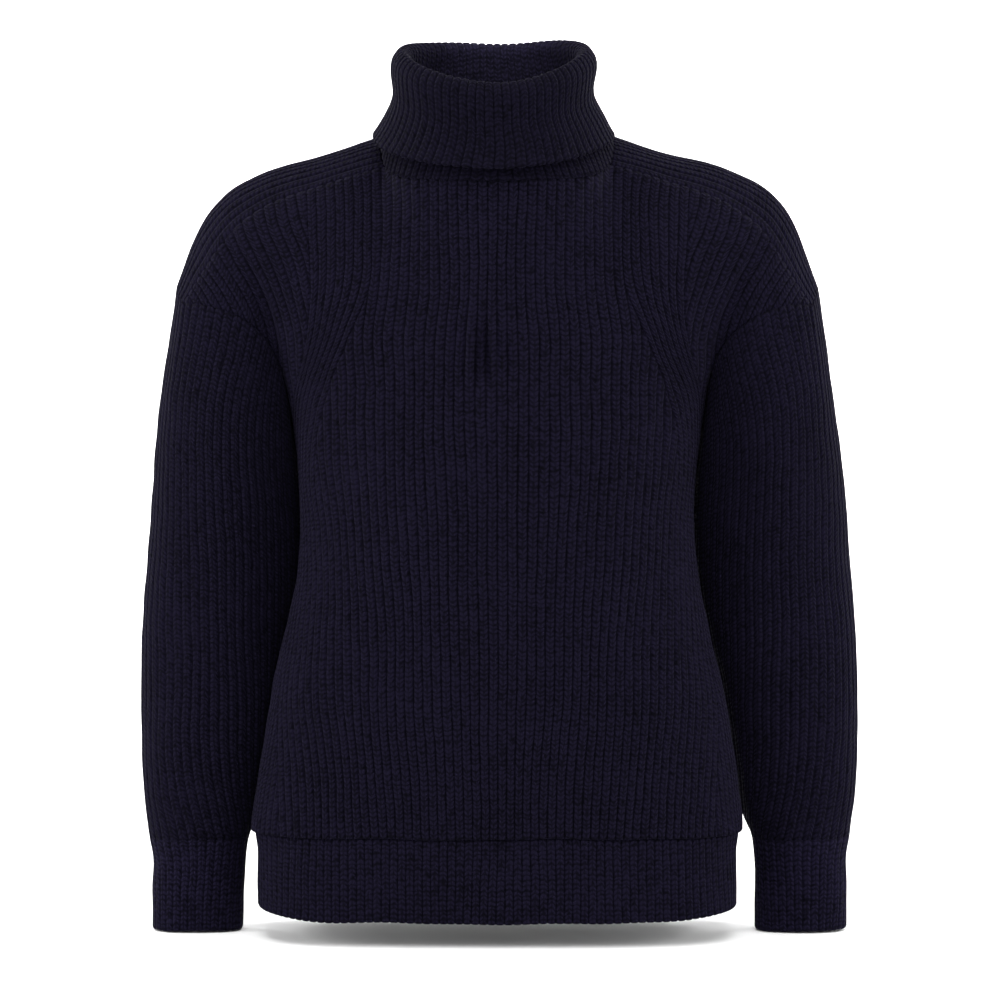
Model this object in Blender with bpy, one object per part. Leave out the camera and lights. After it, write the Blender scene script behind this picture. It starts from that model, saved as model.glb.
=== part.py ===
"""Chunky rib-knit roll-neck sweater, filled out as worn and hollow inside.

Metres, +Z up, the front facing -Y.  The origin is on the centre line at the height where the
shoulders meet the neck, which is where a wearer carries the garment.

Every knitted piece is a wall: its outer skin is a grid of points with one crest and one groove
for each rib, and its inner skin is plain and coarser.  The skins come from rings and seam lines
that are worked out from the sizes below.
"""

from collections import namedtuple
import math

import bmesh
import bpy
import numpy as np

# ---------------------------------------------------------------- driving sizes
WALL = 0.0046                 # cloth thickness at the crest of a rib
RIB_DEPTH = 0.0016            # how far a groove lies below the crests beside it
SEAM_GAP = 0.0004             # between two pieces that are sewn together
ARMHOLE_GAP = 0.0014          # between a sleeve and the pieces that it is sewn to
UNDERARM_GAP = 0.0021         # more of it where the sleeve and the body's side hang face to face
TOP_GAP = 0.0007              # between the body's upper edges and what is sewn to them
FRONT, BACK = -1, 1           # sign of y on each side of the side seams
SAMPLES = 97                  # fine steps along a row, from which its rib columns are read

ARMPIT_Z = -0.225
ARMPIT_X = 0.168
HEM_SEAM_Z = -0.5575          # where the hem rib is linked to the body
HEM_SEAM_SIDE_DIP = 0.002     # the seam hangs this much lower at the side seams
HEM_BOTTOM_Z = -0.6260
HEM_BOTTOM_SIDE_RISE = 0.0050
CUFF_SEAM_Z = -0.5700
CUFF_BOTTOM_Z = -0.6450
LEFT_SLEEVE_SWING = 0.0034    # how much further out the left sleeve hangs than the right one

# ribs on half of each piece, counted from its centre line to its seam
INNER_RIBS_LOW = 20           # front and back, inside the shaped band, below the chest
INNER_RIBS_HIGH = 13          # the same, above the chest
BAND_RIBS = 7                 # the shaped band itself
OUTER_RIBS_LOW = 12           # between the band and the side seam, at the hem
OUTER_RIBS_HIGH = 12          # between the band and the armhole, along the strap
SLEEVE_RIB_PITCH = 0.0080
HEM_RIBS = 39                 # on half of the front, and of the back
CUFF_RIBS = 16
SADDLE_RIBS = 14              # across the whole shoulder strap
COLLAR_RIBS = 72              # all round

# ---------------------------------------------------------------- tables of sections
BodyRing = namedtuple("BodyRing", "z half_width front_depth back_depth squareness")
BODY = [
    BodyRing(-0.575, 0.1985, 0.103, 0.095, 3.4),
    BodyRing(-0.556, 0.2005, 0.105, 0.096, 3.1),
    BodyRing(-0.529, 0.1976, 0.108, 0.096, 2.9),
    BodyRing(-0.488, 0.1923, 0.111, 0.096, 2.8),
    BodyRing(-0.439, 0.1841, 0.115, 0.096, 2.7),
    BodyRing(-0.400, 0.1743, 0.118, 0.098, 2.6),
    BodyRing(-0.371, 0.1677, 0.120, 0.101, 2.6),
    BodyRing(-0.346, 0.1636, 0.122, 0.104, 2.5),
    BodyRing(-0.310, 0.1615, 0.125, 0.109, 2.5),
    BodyRing(-0.275, 0.1624, 0.128, 0.113, 2.4),
    BodyRing(-0.242, 0.1656, 0.129, 0.115, 2.4),
    BodyRing(-0.225, 0.1680, 0.129, 0.116, 2.4),
    BodyRing(-0.205, 0.1710, 0.128, 0.116, 2.4),
]

# The strap that runs over the shoulder: its front seam, and the ridge above it.  The back seam
# is the front one mirrored, but closer in and higher near the neck.  The first row is at the
# neck, the last at the top of the sleeve.
Shoulder = namedtuple("Shoulder", "seam_x seam_depth seam_z ridge_x ridge_z")
SHOULDER = [
    Shoulder(0.0906, 0.044, -0.0190, 0.0920, 0.0060),
    Shoulder(0.1180, 0.047, -0.0265, 0.1200, -0.0030),
    Shoulder(0.1435, 0.049, -0.0345, 0.1480, -0.0108),
    Shoulder(0.1651, 0.050, -0.0415, 0.1730, -0.0172),
    Shoulder(0.1832, 0.050, -0.0485, 0.1935, -0.0240),
    Shoulder(0.2012, 0.050, -0.0590, 0.2150, -0.0340),
    Shoulder(0.2150, 0.050, -0.0710, 0.2318, -0.0492),
    Shoulder(0.2265, 0.050, -0.0870, 0.2435, -0.0680),
    Shoulder(0.2385, 0.048, -0.1060, 0.2522, -0.0895),
    Shoulder(0.2545, 0.042, -0.1300, 0.2620, -0.1165),
]

BACK_ROUNDNESS = 0.80         # the back's rings are less square than the front's by this
BACK_SEAM_INSET = 0.0164
BACK_SEAM_LIFT = 0.0230

CORNER_SPREAD = 0.22          # how far the neck's corner is rounded off further down the front

# The armhole seam on the front, from the armpit up to the strap.
Armhole = namedtuple("Armhole", "x depth z")
ARMHOLE = [
    Armhole(ARMPIT_X, 0.000, ARMPIT_Z),
    Armhole(0.1695, 0.026, -0.205),
    Armhole(0.1760, 0.047, -0.177),
    Armhole(0.1900, 0.060, -0.153),
    Armhole(0.2090, 0.065, -0.138),
    Armhole(0.2260, 0.062, -0.1315),
    Armhole(0.2420, 0.053, -0.1295),
    Armhole(0.2545, 0.042, -0.1300),
]

# The soft fold that runs down from the shoulder in front of the armhole, and behind it.
Fold = namedtuple("Fold", "x z depth")
FOLD = [
    Fold(0.2230, -0.0700, 0.0000),
    Fold(0.2140, -0.0850, 0.0022),
    Fold(0.2010, -0.1000, 0.0040),
    Fold(0.1925, -0.1180, 0.0048),
    Fold(0.1860, -0.1360, 0.0040),
    Fold(0.1800, -0.1580, 0.0020),
    Fold(0.1745, -0.1830, 0.0000),
]
FOLD_HALF_WIDTH = 0.0085

# The neckline on the body, by the angle round the neck from the front centre.
NeckPoint = namedtuple("NeckPoint", "angle z")
NECK = [
    NeckPoint(-30, -0.0290),
    NeckPoint(0, -0.0300),
    NeckPoint(35, -0.0290),
    NeckPoint(60, -0.0250),
    NeckPoint(77, -0.0190),
    NeckPoint(130.6, 0.0040),
    NeckPoint(155, 0.0110),
    NeckPoint(180, 0.0135),
    NeckPoint(205, 0.0110),
]
NECK_HALF_WIDTH = 0.0925
NECK_HALF_DEPTH = 0.0860
NECK_CENTRE_Y = -0.0180
NECK_SQUARENESS = 2.5
NECK_GAP = 0.0011             # between the body and the collar
STRAP_FROM, STRAP_TO = math.radians(77), math.radians(130.6)   # the strap's share of the neckline

# Level sections of the sleeve, which hangs behind the body's widest line.
SleeveRing = namedtuple("SleeveRing", "z inner_x outer_x centre_y half_depth squareness")
SLEEVE = [
    SleeveRing(-0.660, 0.2101, 0.2849, 0.010, 0.024, 2.3),
    SleeveRing(-0.612, 0.2097, 0.2847, 0.013, 0.028, 2.3),
    SleeveRing(-0.583, 0.2080, 0.2851, 0.019, 0.033, 2.3),
    SleeveRing(-0.5695, 0.2055, 0.2882, 0.023, 0.038, 2.2),
    SleeveRing(-0.556, 0.1990, 0.2906, 0.026, 0.041, 2.2),
    SleeveRing(-0.530, 0.1925, 0.2942, 0.030, 0.045, 2.2),
    SleeveRing(-0.490, 0.1860, 0.2957, 0.034, 0.049, 2.2),
    SleeveRing(-0.440, 0.1760, 0.2953, 0.037, 0.052, 2.1),
    SleeveRing(-0.390, 0.1660, 0.2940, 0.037, 0.055, 2.1),
    SleeveRing(-0.340, 0.1590, 0.2903, 0.033, 0.058, 2.0),
    SleeveRing(-0.290, 0.1580, 0.2856, 0.024, 0.061, 2.0),
    SleeveRing(-0.235, 0.1650, 0.2790, 0.009, 0.063, 2.0),
    SleeveRing(-0.200, 0.1725, 0.2745, 0.003, 0.062, 2.0),
    SleeveRing(-0.160, 0.1800, 0.2690, 0.000, 0.058, 2.0),
    SleeveRing(-0.110, 0.2000, 0.2615, 0.000, 0.050, 2.0),
]
SIDE_GAP = 0.0012             # least room between the sleeve and the body's side
SIDE_TURN = 0.0015            # how softly the sleeve gives way to the body's side

# The shaped band of ribs on the chest, as distances from the centre line.
BandEdge = namedtuple("BandEdge", "z inner_x outer_x inner_ribs outer_ribs")
BAND = [
    BandEdge(-0.575, 0.1334, 0.1757, INNER_RIBS_LOW, OUTER_RIBS_LOW),
    BandEdge(-0.500, 0.1380, 0.1774, INNER_RIBS_LOW, 9.7),
    BandEdge(-0.450, 0.1431, 0.1778, INNER_RIBS_LOW, 7.3),
    BandEdge(-0.400, 0.1428, 0.1703, INNER_RIBS_LOW, 5.3),
    BandEdge(-0.345, 0.1427, 0.1624, INNER_RIBS_LOW, 3.1),
    BandEdge(-0.300, 0.1440, 0.1608, INNER_RIBS_LOW, 2.3),
    BandEdge(-0.262, 0.1460, 0.1631, 19.7, 2.3),
    BandEdge(-0.225, 0.1425, 0.1657, 18.4, 3.6),
    BandEdge(-0.195, 0.1345, 0.1639, 17.0, 4.4),
    BandEdge(-0.161, 0.1190, 0.1550, 14.6, 6.2),
    BandEdge(-0.121, 0.1020, 0.1500, INNER_RIBS_HIGH, 8.0),
    BandEdge(-0.074, 0.1010, 0.1520, INNER_RIBS_HIGH, 11.0),
    BandEdge(-0.030, 0.1020, 0.1550, INNER_RIBS_HIGH, OUTER_RIBS_HIGH),
]
EVEN_ABOVE_ARMPIT = 0.10      # the inner ribs are evenly spaced as seen from the front above this

# Rings of the roll collar along its shown face: up the inside of the neck, over the top, and
# down the outside to the loose edge.  A ring's height is mid - lean cos(angle) - dip cos(2 angle),
# and shift is how far it leans to the wearer's right.
CollarRing = namedtuple("CollarRing", "half_width half_depth shift centre_y mid lean dip")
COLLAR = [
    CollarRing(0.0770, 0.0700, 0.0015, -0.0240, 0.0220, 0.0170, 0.0020),
    CollarRing(0.0685, 0.0650, 0.0030, -0.0290, 0.0500, 0.0180, 0.0045),
    CollarRing(0.0682, 0.0645, 0.0036, -0.0301, 0.0685, 0.0186, 0.0060),
    CollarRing(0.0745, 0.0710, 0.0036, -0.0304, 0.0716, 0.0188, 0.0062),
    CollarRing(0.0808, 0.0775, 0.0036, -0.0306, 0.0660, 0.0188, 0.0060),
    CollarRing(0.0826, 0.0810, 0.0032, -0.0285, 0.0325, 0.0196, 0.0040),
    CollarRing(0.0890, 0.0870, 0.0024, -0.0250, 0.0195, 0.0204, 0.0034),
    CollarRing(0.0995, 0.0955, 0.0010, -0.0215, 0.0038, 0.0208, 0.0028),
]

# height of each row of points, up each piece
BODY_ROWS_BELOW_ARMPIT = (-0.500, -0.420, -0.345, -0.275)
BODY_ROWS_ABOVE_ARMPIT = (0.0, 0.15, 0.32, 0.52, 0.76, 1.0)
SLEEVE_ROWS = (0.0, 0.06, 0.16, 0.31, 0.50, 0.70, 0.88, 1.0)
SADDLE_ROWS = 9


# ---------------------------------------------------------------- numbers
def column(table, name):
    """One named column of a table as an array."""
    return np.array([getattr(row, name) for row in table], float)


def smooth(x, xs, ys):
    """A curve through the points xs, ys, with the slope at each taken from its neighbours."""
    order = np.argsort(xs)
    xs, ys = np.asarray(xs, float)[order], np.asarray(ys, float)[order]
    slope = np.gradient(ys, xs)
    i = np.clip(np.searchsorted(xs, x) - 1, 0, len(xs) - 2)
    width = xs[i + 1] - xs[i]
    s = (np.clip(x, xs[0], xs[-1]) - xs[i]) / width
    return (
        ys[i] * (2 * s**3 - 3 * s**2 + 1)
        + ys[i + 1] * (3 * s**2 - 2 * s**3)
        + width * slope[i] * (s**3 - 2 * s**2 + s)
        + width * slope[i + 1] * (s**3 - s**2)
    )


def unit(vectors):
    """The vectors at length 1."""
    return vectors / np.maximum(np.linalg.norm(vectors, axis=-1, keepdims=True), 1e-12)


def by_length(points, shares):
    """The places along a fine line of points at these shares of its length."""
    steps = np.linalg.norm(np.diff(points, axis=0), axis=1)
    along = np.concatenate([[0], np.cumsum(steps)])
    along /= along[-1]
    return np.stack([np.interp(shares, along, points[:, axis]) for axis in range(3)], axis=-1)


def length_of(points):
    """The length of a line of points."""
    return float(np.linalg.norm(np.diff(points, axis=0), axis=1).sum())


def curve_through(points, count=SAMPLES * 2):
    """A fine smooth line through a few points, evenly spaced along it."""
    points = np.asarray(points, float)
    knots = np.concatenate([[0], np.cumsum(np.linalg.norm(np.diff(points, axis=0), axis=1))])
    at = np.linspace(0, knots[-1], count * 3)
    line = np.stack([smooth(at, knots, points[:, axis]) for axis in range(3)], axis=-1)
    return by_length(line, np.linspace(0, 1, count))


def quarter_oval(half_width, depth, squareness, count=SAMPLES * 2):
    """A quarter of a squared-off oval in plan, from (0, depth) to (half_width, 0), evenly spaced."""
    angle = np.linspace(0, math.pi / 2, count * 3)
    power = 2 / squareness
    line = np.stack(
        [half_width * np.sin(angle) ** power, depth * np.cos(angle) ** power, 0 * angle], axis=-1
    )
    return by_length(line, np.linspace(0, 1, count))


def grid_normals(points, outward_hint):
    """Unit normals of a grid of points, turned to the side of the hints."""
    normals = unit(np.cross(np.gradient(points, axis=1), np.gradient(points, axis=0)))
    turned = np.sign((normals * outward_hint).sum(axis=-1, keepdims=True))
    return normals * np.where(turned == 0, 1, turned)


def along_rows(values, at):
    """Reads a row grid of values at these fractional column numbers, a list for each row."""
    low = np.clip(np.floor(at).astype(int), 0, values.shape[1] - 2)
    share = (at - low)[..., None]
    rows = np.arange(len(values))[:, None]
    return values[rows, low] * (1 - share) + values[rows, low + 1] * share


# ---------------------------------------------------------------- seam lines
def neck_point(angle):
    """The neckline on the body at this angle, from 0 at the front centre to pi at the back: a
    squared-off oval, and the end of the shoulder strap between its two seams."""
    power = 2 / NECK_SQUARENESS
    ahead = np.sign(np.cos(angle)) * np.abs(np.cos(angle)) ** power
    across = NECK_HALF_WIDTH * np.abs(np.sin(angle)) ** power
    height = smooth(np.degrees(angle), column(NECK, "angle"), column(NECK, "z"))
    oval = np.stack([across, NECK_CENTRE_Y - NECK_HALF_DEPTH * ahead, height], axis=-1)
    over = np.clip((angle - STRAP_FROM) / (STRAP_TO - STRAP_FROM), 0, 1)
    on_strap = (over > 0) & (over < 1)
    return np.where(on_strap[..., None], strap_point(over, 0 * over), oval)


def neck_normal(angle):
    """The direction in which the cloth's edge faces outwards at the neckline."""
    up = 0.55
    return unit(np.stack([np.sin(angle), -np.cos(angle), up + 0 * angle], axis=-1))


def strap_lines(share):
    """Front seam, ridge and back seam of the shoulder strap at these shares of its length.  The
    lines are straight between the strap's rows, so that the pieces beside it fit it."""
    knots = np.linspace(0, 1, SADDLE_ROWS)
    return [
        np.stack([np.interp(share, knots, line[:, axis]) for axis in range(3)], axis=-1)
        for line in smooth_strap_lines(knots)
    ]


def smooth_strap_lines(share):
    """The same three lines as smooth curves."""
    at = np.linspace(0, 1, len(SHOULDER))
    read = {n: smooth(share, at, column(SHOULDER, n)) for n in Shoulder._fields}
    near_neck = 1 - np.asarray(share, float)
    inset, lift = BACK_SEAM_INSET * near_neck**3, BACK_SEAM_LIFT * near_neck**2
    front = np.stack([read["seam_x"], -read["seam_depth"], read["seam_z"]], axis=-1)
    ridge = np.stack([read["ridge_x"], 0 * share, read["ridge_z"]], axis=-1)
    back = np.stack([read["seam_x"] - inset, read["seam_depth"], read["seam_z"] + lift], axis=-1)
    return front, ridge, back


def strap_point(across, share):
    """The strap's face: a quadratic arc over the ridge, from the front seam to the back one."""
    front, ridge, back = strap_lines(share)
    peak = 2 * ridge - (front + back) / 2
    w = across[..., None]
    return front * (1 - w) ** 2 + 2 * peak * w * (1 - w) + back * w**2


def strap_normal(across, share):
    """The strap's outward normal, from steps along and across it."""
    step = 1e-4
    over = strap_point(across + step, share) - strap_point(across - step, share)
    out = strap_point(across, share + step) - strap_point(across, share - step)
    return unit(np.cross(out, over))


def armhole_line(side):
    """The armhole seam from the armpit to the strap, on the front or the back: a point for each
    row of the body's grid, with straight stretches between them."""
    points = np.stack([column(ARMHOLE, "x"), side * column(ARMHOLE, "depth"), column(ARMHOLE, "z")], axis=-1)
    return by_length(curve_through(points), np.array(BODY_ROWS_ABOVE_ARMPIT))


def armhole_normal(points):
    """Away from the middle of the upper arm, square to the arm."""
    middle = np.array([0.2130, 0.0, -0.1700])
    arm = unit(np.array([0.756, 0.0, -0.655]))
    away = points - middle
    return unit(away - (away @ arm)[..., None] * arm)


# ---------------------------------------------------------------- surfaces
def body_row(z, side):
    """Half a level ring of the body, from the front or back centre to the side seam."""
    read = {n: smooth(z, column(BODY, "z"), column(BODY, n)) for n in BodyRing._fields}
    depth = read["front_depth"] if side == FRONT else read["back_depth"]
    squareness = read["squareness"] * (1 if side == FRONT else BACK_ROUNDNESS)
    line = quarter_oval(read["half_width"], depth, squareness, SAMPLES)
    return np.stack([line[:, 0], side * line[:, 1], np.full(SAMPLES, z)], axis=-1)


def clear_of_body(points):
    """Points of a sleeve, moved out along x where they would lie inside the body's outline and
    a gap round it.  Where the two meet, x turns softly from one to the other.  The body is
    straight between the rows of its grid, so its sizes are read that way too."""
    levels = np.array((HEM_SEAM_Z,) + BODY_ROWS_BELOW_ARMPIT + (ARMPIT_Z,))
    read = {
        n: np.interp(points[..., 2], levels, smooth(levels, column(BODY, "z"), column(BODY, n)))
        for n in BodyRing._fields
    }
    behind = points[..., 1] > 0
    depth = np.where(behind, read["back_depth"], read["front_depth"])
    squareness = read["squareness"] * np.where(behind, BACK_ROUNDNESS, 1)
    ahead = np.clip(np.abs(points[..., 1]) / depth, 0, 1)
    outline = read["half_width"] * (1 - ahead**squareness) ** (1 / squareness) + SIDE_GAP
    x = points[..., 0]
    pushed = (x + outline + np.sqrt((x - outline) ** 2 + SIDE_TURN**2)) / 2
    return np.stack([pushed, points[..., 1], points[..., 2]], axis=-1)


def fold_depth(points):
    """How far the fold beside the armhole sinks the cloth: a bell curve across the fold line."""
    at = np.linspace(0, len(FOLD) - 1, 60)
    knots = np.arange(len(FOLD))
    x, z, depth = (smooth(at, knots, column(FOLD, name)) for name in Fold._fields)
    away = np.hypot(np.abs(points[..., :1]) - x, points[..., 2:] - z)
    return (depth * np.exp(-((away / FOLD_HALF_WIDTH) ** 2))).max(axis=-1)


def top_edge(side):
    """Upper edge of the front or back: the neckline from its centre, then the strap seam."""
    start, neck_end = (0, STRAP_FROM) if side == FRONT else (math.pi, STRAP_TO)
    angle = np.linspace(start, neck_end, 60)
    seam = strap_lines(np.linspace(0, 1, 200))[0 if side == FRONT else 2]
    neck = neck_point(angle)
    neck[-1] = seam[0]
    line = np.concatenate([neck, seam[1:]])
    return by_length(line, np.linspace(0, 1, SAMPLES))


def top_edge_directions(side, edge):
    """The way the ribs arrive at the upper edge, and the cloth's normal there."""
    shares = np.linspace(0, 1, 400)
    front, ridge, back = strap_lines(shares)
    seam = front if side == FRONT else back
    peak = 2 * ridge - (front + back) / 2
    nearest = np.argmin(np.linalg.norm(edge[:, None] - seam[None], axis=-1), axis=1)
    knots = np.linspace(0, 1, SADDLE_ROWS)
    at_knots = strap_surface(SADDLE_ROWS, SAMPLES)[1][:, 0 if side == FRONT else -1]
    on_strap = np.stack([np.interp(shares, knots, at_knots[:, k]) for k in range(3)], axis=-1)[nearest]
    strap_way = unit(peak - seam)[nearest]
    angle = np.arctan2(edge[:, 0], -(edge[:, 1] - NECK_CENTRE_Y))
    neck_way = np.array([0, -side * 0.45, 0.90])
    share = np.clip((edge[:, 0] - 0.075) / 0.06, 0, 1)[:, None]
    is_seam = (np.linalg.norm(edge - seam[nearest], axis=1) < 0.001)[:, None]
    way = unit(neck_way * (1 - share) + strap_way * share)
    normal = np.where(is_seam, on_strap, neck_normal(angle))
    return way, normal


def softened(line, spread):
    """A line from the centre outwards with its corners rounded: a mean of the points round each
    one, weighted by a bell curve of this spread.  It goes on past both ends by reflection."""
    before = line[:0:-1] * [-1, 1, 1]
    after = 2 * line[-1] - line[-2::-1]
    away = np.linspace(-1, 1, 2 * len(line) - 1)
    weights = np.exp(-((away / max(spread, 1e-4)) ** 2))
    whole = np.concatenate([before, line, after])
    means = [np.convolve(whole[:, axis], weights / weights.sum(), mode="valid") for axis in range(3)]
    return np.stack(means, axis=-1)


def body_surface(side, low_rows, high_rows):
    """Half of the front or back as a fine grid: level rings up to the armpit, then columns that
    curve from the last ring to the upper edge and fit the armhole seam.  The corner where the
    neckline meets the strap fades down the columns."""
    low = np.stack([body_row(z, side) for z in low_rows])
    start = body_row(ARMPIT_Z, side)
    step = 0.004
    rise = unit(body_row(ARMPIT_Z + step, side) - body_row(ARMPIT_Z - step, side))
    end = top_edge(side)
    way, normal_top = top_edge_directions(side, end)
    reach = np.linalg.norm(end - start, axis=1)[:, None]
    armhole = armhole_line(side)
    u = np.linspace(0, 1, SAMPLES)[:, None]
    armhole_start = unit(armhole[1] - armhole[0])
    rise = unit(rise * (1 - u**6) + armhole_start * u**6)
    high = []
    for t, seam in zip(high_rows, armhole):
        column_points = (
            start * (2 * t**3 - 3 * t**2 + 1)
            + softened(end, CORNER_SPREAD * (1 - t**4)) * (3 * t**2 - 2 * t**3)
            + rise * reach * (t**3 - 2 * t**2 + t)
            + way * reach * (t**3 - t**2)
        )
        column_points = column_points + (seam - column_points[-1]) * u**5
        high.append(column_points)
    points = np.concatenate([low, np.stack(high)])
    normals = grid_normals(points, points * [1, 1, 0] + [0, 0, 0.02])
    fade = u[:, 0] ** 8
    for r in range(len(low_rows), len(points)):
        seam_normal = armhole_normal(points[r, -1])
        normals[r] = unit(normals[r] * (1 - fade[:, None]) + seam_normal * fade[:, None])
    normals[: len(low_rows) + 1, -1] = [1, 0, 0]
    normals[:, 0, 0] = 0
    normals[0, :, 2] = 0
    normals = unit(normals)
    normals[-1] = normal_top
    return points - normals * fold_depth(points)[..., None], normals


def sleeve_section(z, share, side):
    """A point of the sleeve's level section: share 0 at its outer edge and 1 at its inner one."""
    read = {n: smooth(z, column(SLEEVE, "z"), column(SLEEVE, n)) for n in SleeveRing._fields}
    half = (read["outer_x"] - read["inner_x"]) / 2
    centre = (read["outer_x"] + read["inner_x"]) / 2
    line = half_oval(half, read["half_depth"], read["squareness"])
    point = by_length(line, np.array([share]))[0]
    return np.array([centre + point[0], read["centre_y"] + side * point[1], z])


def half_oval(half_width, depth, squareness, count=SAMPLES * 2):
    """Half of a squared-off oval in plan, from (half_width, 0) round to (-half_width, 0)."""
    quarter = quarter_oval(half_width, depth, squareness, count)
    left = quarter[::-1]
    right = quarter * [-1, 1, 1]
    return np.concatenate([left, right[1:]])


def armhole_ring(side):
    """Half of the ring that the sleeve is sewn to, from the strap's ridge to the armpit."""
    across = np.linspace(0.5, 0.0 if side == FRONT else 1.0, 60)
    over = strap_point(across, np.ones(60))
    down = armhole_line(side)[::-1]
    return by_length(np.concatenate([over, down[1:]]), np.linspace(0, 1, SAMPLES))


def sleeve_surface(side, rows):
    """Half of the sleeve as a fine grid: it leaves the armhole and settles into level sections."""
    top = armhole_ring(side)
    shares = np.linspace(0, 1, SAMPLES)
    top = top + (UNDERARM_GAP * shares**4)[:, None] * [1, 0, 0]
    points = []
    settle = 0.42
    for t in rows:
        z = top[:, 2] + (CUFF_SEAM_Z - top[:, 2]) * t
        row = np.stack([sleeve_section(z[i], shares[i], side) for i in range(SAMPLES)])
        top_section = np.stack([sleeve_section(top[i, 2], shares[i], side) for i in range(SAMPLES)])
        hold = np.clip(1 - t / settle, 0, 1) ** 2
        points.append(row + (top - top_section) * hold)
    points = np.stack(points)
    points[1:] = clear_of_body(points[1:])
    centre = (points[:, :1] + points[:, -1:]) / 2
    hint = (points - centre) * [1, 1, 0]
    normals = grid_normals(points, hint)
    normals[0] = armhole_normal(top)
    normals[:, 0, 1] = 0
    normals[:, -1, 1] = 0
    normals[-1, :, 2] = 0
    return points, unit(normals)


def strap_surface(rows, columns):
    """The shoulder strap as a fine grid, a row for each step along it."""
    share = np.linspace(0, 1, rows)[:, None] + np.zeros((1, columns))
    across = np.linspace(0, 1, columns)[None] + np.zeros((rows, 1))
    points = strap_point(across, share)
    normals = strap_normal(np.clip(across, 1e-4, 1 - 1e-4), np.clip(share, 1e-4, 1 - 1e-4))
    angle = np.arctan2(points[0, :, 0], -(points[0, :, 1] - NECK_CENTRE_Y))
    normals[0] = neck_normal(angle)
    normals[-1] = armhole_normal(points[-1])
    return points, normals


def collar_surface(columns):
    """The roll collar's shown face, a row for each ring, closed round the neck."""
    angle = np.linspace(0, 2 * math.pi, columns, endpoint=False)
    folded = np.where(angle > math.pi, 2 * math.pi - angle, angle)
    base = neck_point(folded)
    base[angle > math.pi, 0] *= -1
    base = base - neck_normal(angle) * WALL + [0, 0, NECK_GAP]
    rings = [base]
    for ring in COLLAR:
        rings.append(
            np.stack(
                [
                    ring.half_width * np.sin(angle) - ring.shift,
                    ring.centre_y - ring.half_depth * np.cos(angle),
                    ring.mid - ring.lean * np.cos(angle) - ring.dip * np.cos(2 * angle),
                ],
                axis=-1,
            )
        )
    points = np.stack(rings)
    over = np.gradient(points, axis=0)
    round_neck = (np.roll(points, -1, axis=1) - np.roll(points, 1, axis=1)) / 2
    normals = unit(np.cross(over, round_neck))
    normals[0] = -neck_normal(angle)
    return points, normals


# ---------------------------------------------------------------- walls
def rib_columns(ribs, steps=2):
    """Rib numbers of the columns across this many ribs, and their relief."""
    number = np.arange(int(round(ribs * steps)) + 1) / steps
    return number, relief_at(number)


def relief_at(number):
    """1 on the crest of a rib, midway between two whole rib numbers, and 0 in the grooves."""
    return np.abs(np.sin(math.pi * number))


def wall(name, outer, inner, colour, closed=False):
    """One solid from an outer and an inner grid whose edges are joined.  Both have the same
    rows, and the outer one has a whole number of columns for each column of the inner one."""
    rows, outer_count = outer.shape[:2]
    inner_count = inner.shape[1]
    mesh = bmesh.new()
    out = [[mesh.verts.new(p) for p in row] for row in outer]
    inn = [[mesh.verts.new(p) for p in row] for row in inner]

    def face(*corners):
        mesh.faces.new(corners)

    def skin(grid, count, flip):
        spans = count if closed else count - 1
        for r in range(len(grid) - 1):
            for c in range(spans):
                d = (c + 1) % count
                quad = (grid[r][c], grid[r][d], grid[r + 1][d], grid[r + 1][c])
                face(*(quad[::-1] if flip else quad))

    def rim(fine, coarse, flip):
        """Joins an edge of the outer skin to the shorter list of points of the inner one."""
        spans = len(coarse) if closed else len(coarse) - 1
        per = (len(fine) if closed else len(fine) - 1) // spans
        for c in range(spans):
            first, second = coarse[c], coarse[(c + 1) % len(coarse)]
            for k in range(per):
                a = fine[c * per + k]
                b = fine[(c * per + k + 1) % len(fine)]
                near = first if k < (per + 1) // 2 else second
                tri = (a, near, b)
                face(*(tri[::-1] if flip else tri))
            middle = fine[c * per + (per + 1) // 2]
            tri = (first, second, middle)
            face(*(tri[::-1] if flip else tri))

    skin(out, outer_count, False)
    skin(inn, inner_count, True)
    rim(out[0], inn[0], False)
    rim(out[-1], inn[-1], True)
    if not closed:
        for r in range(rows - 1):
            face(out[r][0], out[r + 1][0], inn[r + 1][0], inn[r][0])
            face(out[r][-1], inn[r][-1], inn[r + 1][-1], out[r + 1][-1])
    bmesh.ops.remove_doubles(mesh, verts=mesh.verts, dist=0.00002)
    bmesh.ops.triangulate(mesh, faces=mesh.faces)
    bmesh.ops.recalc_face_normals(mesh, faces=mesh.faces)
    return finished(name, mesh, colour)


def finished(name, mesh, colour):
    """Puts a bmesh in the garment's collection as a named object with its own wool material."""
    data = bpy.data.meshes.new(name)
    mesh.to_mesh(data)
    mesh.free()
    piece = bpy.data.objects.new(name, data)
    garment.objects.link(piece)
    piece.data.materials.append(wool(name + "_wool", colour))
    return piece


def wool(name, colour):
    """A matt material in this colour."""
    material = bpy.data.materials.new(name)
    material.use_nodes = True
    shader = material.node_tree.nodes["Principled BSDF"]
    shader.inputs["Base Color"].default_value = (*colour, 1)
    shader.inputs["Roughness"].default_value = 0.92
    shader.inputs["Metallic"].default_value = 0.0
    return material


def skins(points, normals, at, relief, inner_at):
    """Outer and inner grids of a wall.  The crests lie on the surface, the grooves below it."""
    outer = along_rows(points, at) - along_rows(normals, at) * (RIB_DEPTH * (1 - relief))[..., None]
    inner = along_rows(points, inner_at) - along_rows(normals, inner_at) * WALL
    return outer, inner


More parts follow.
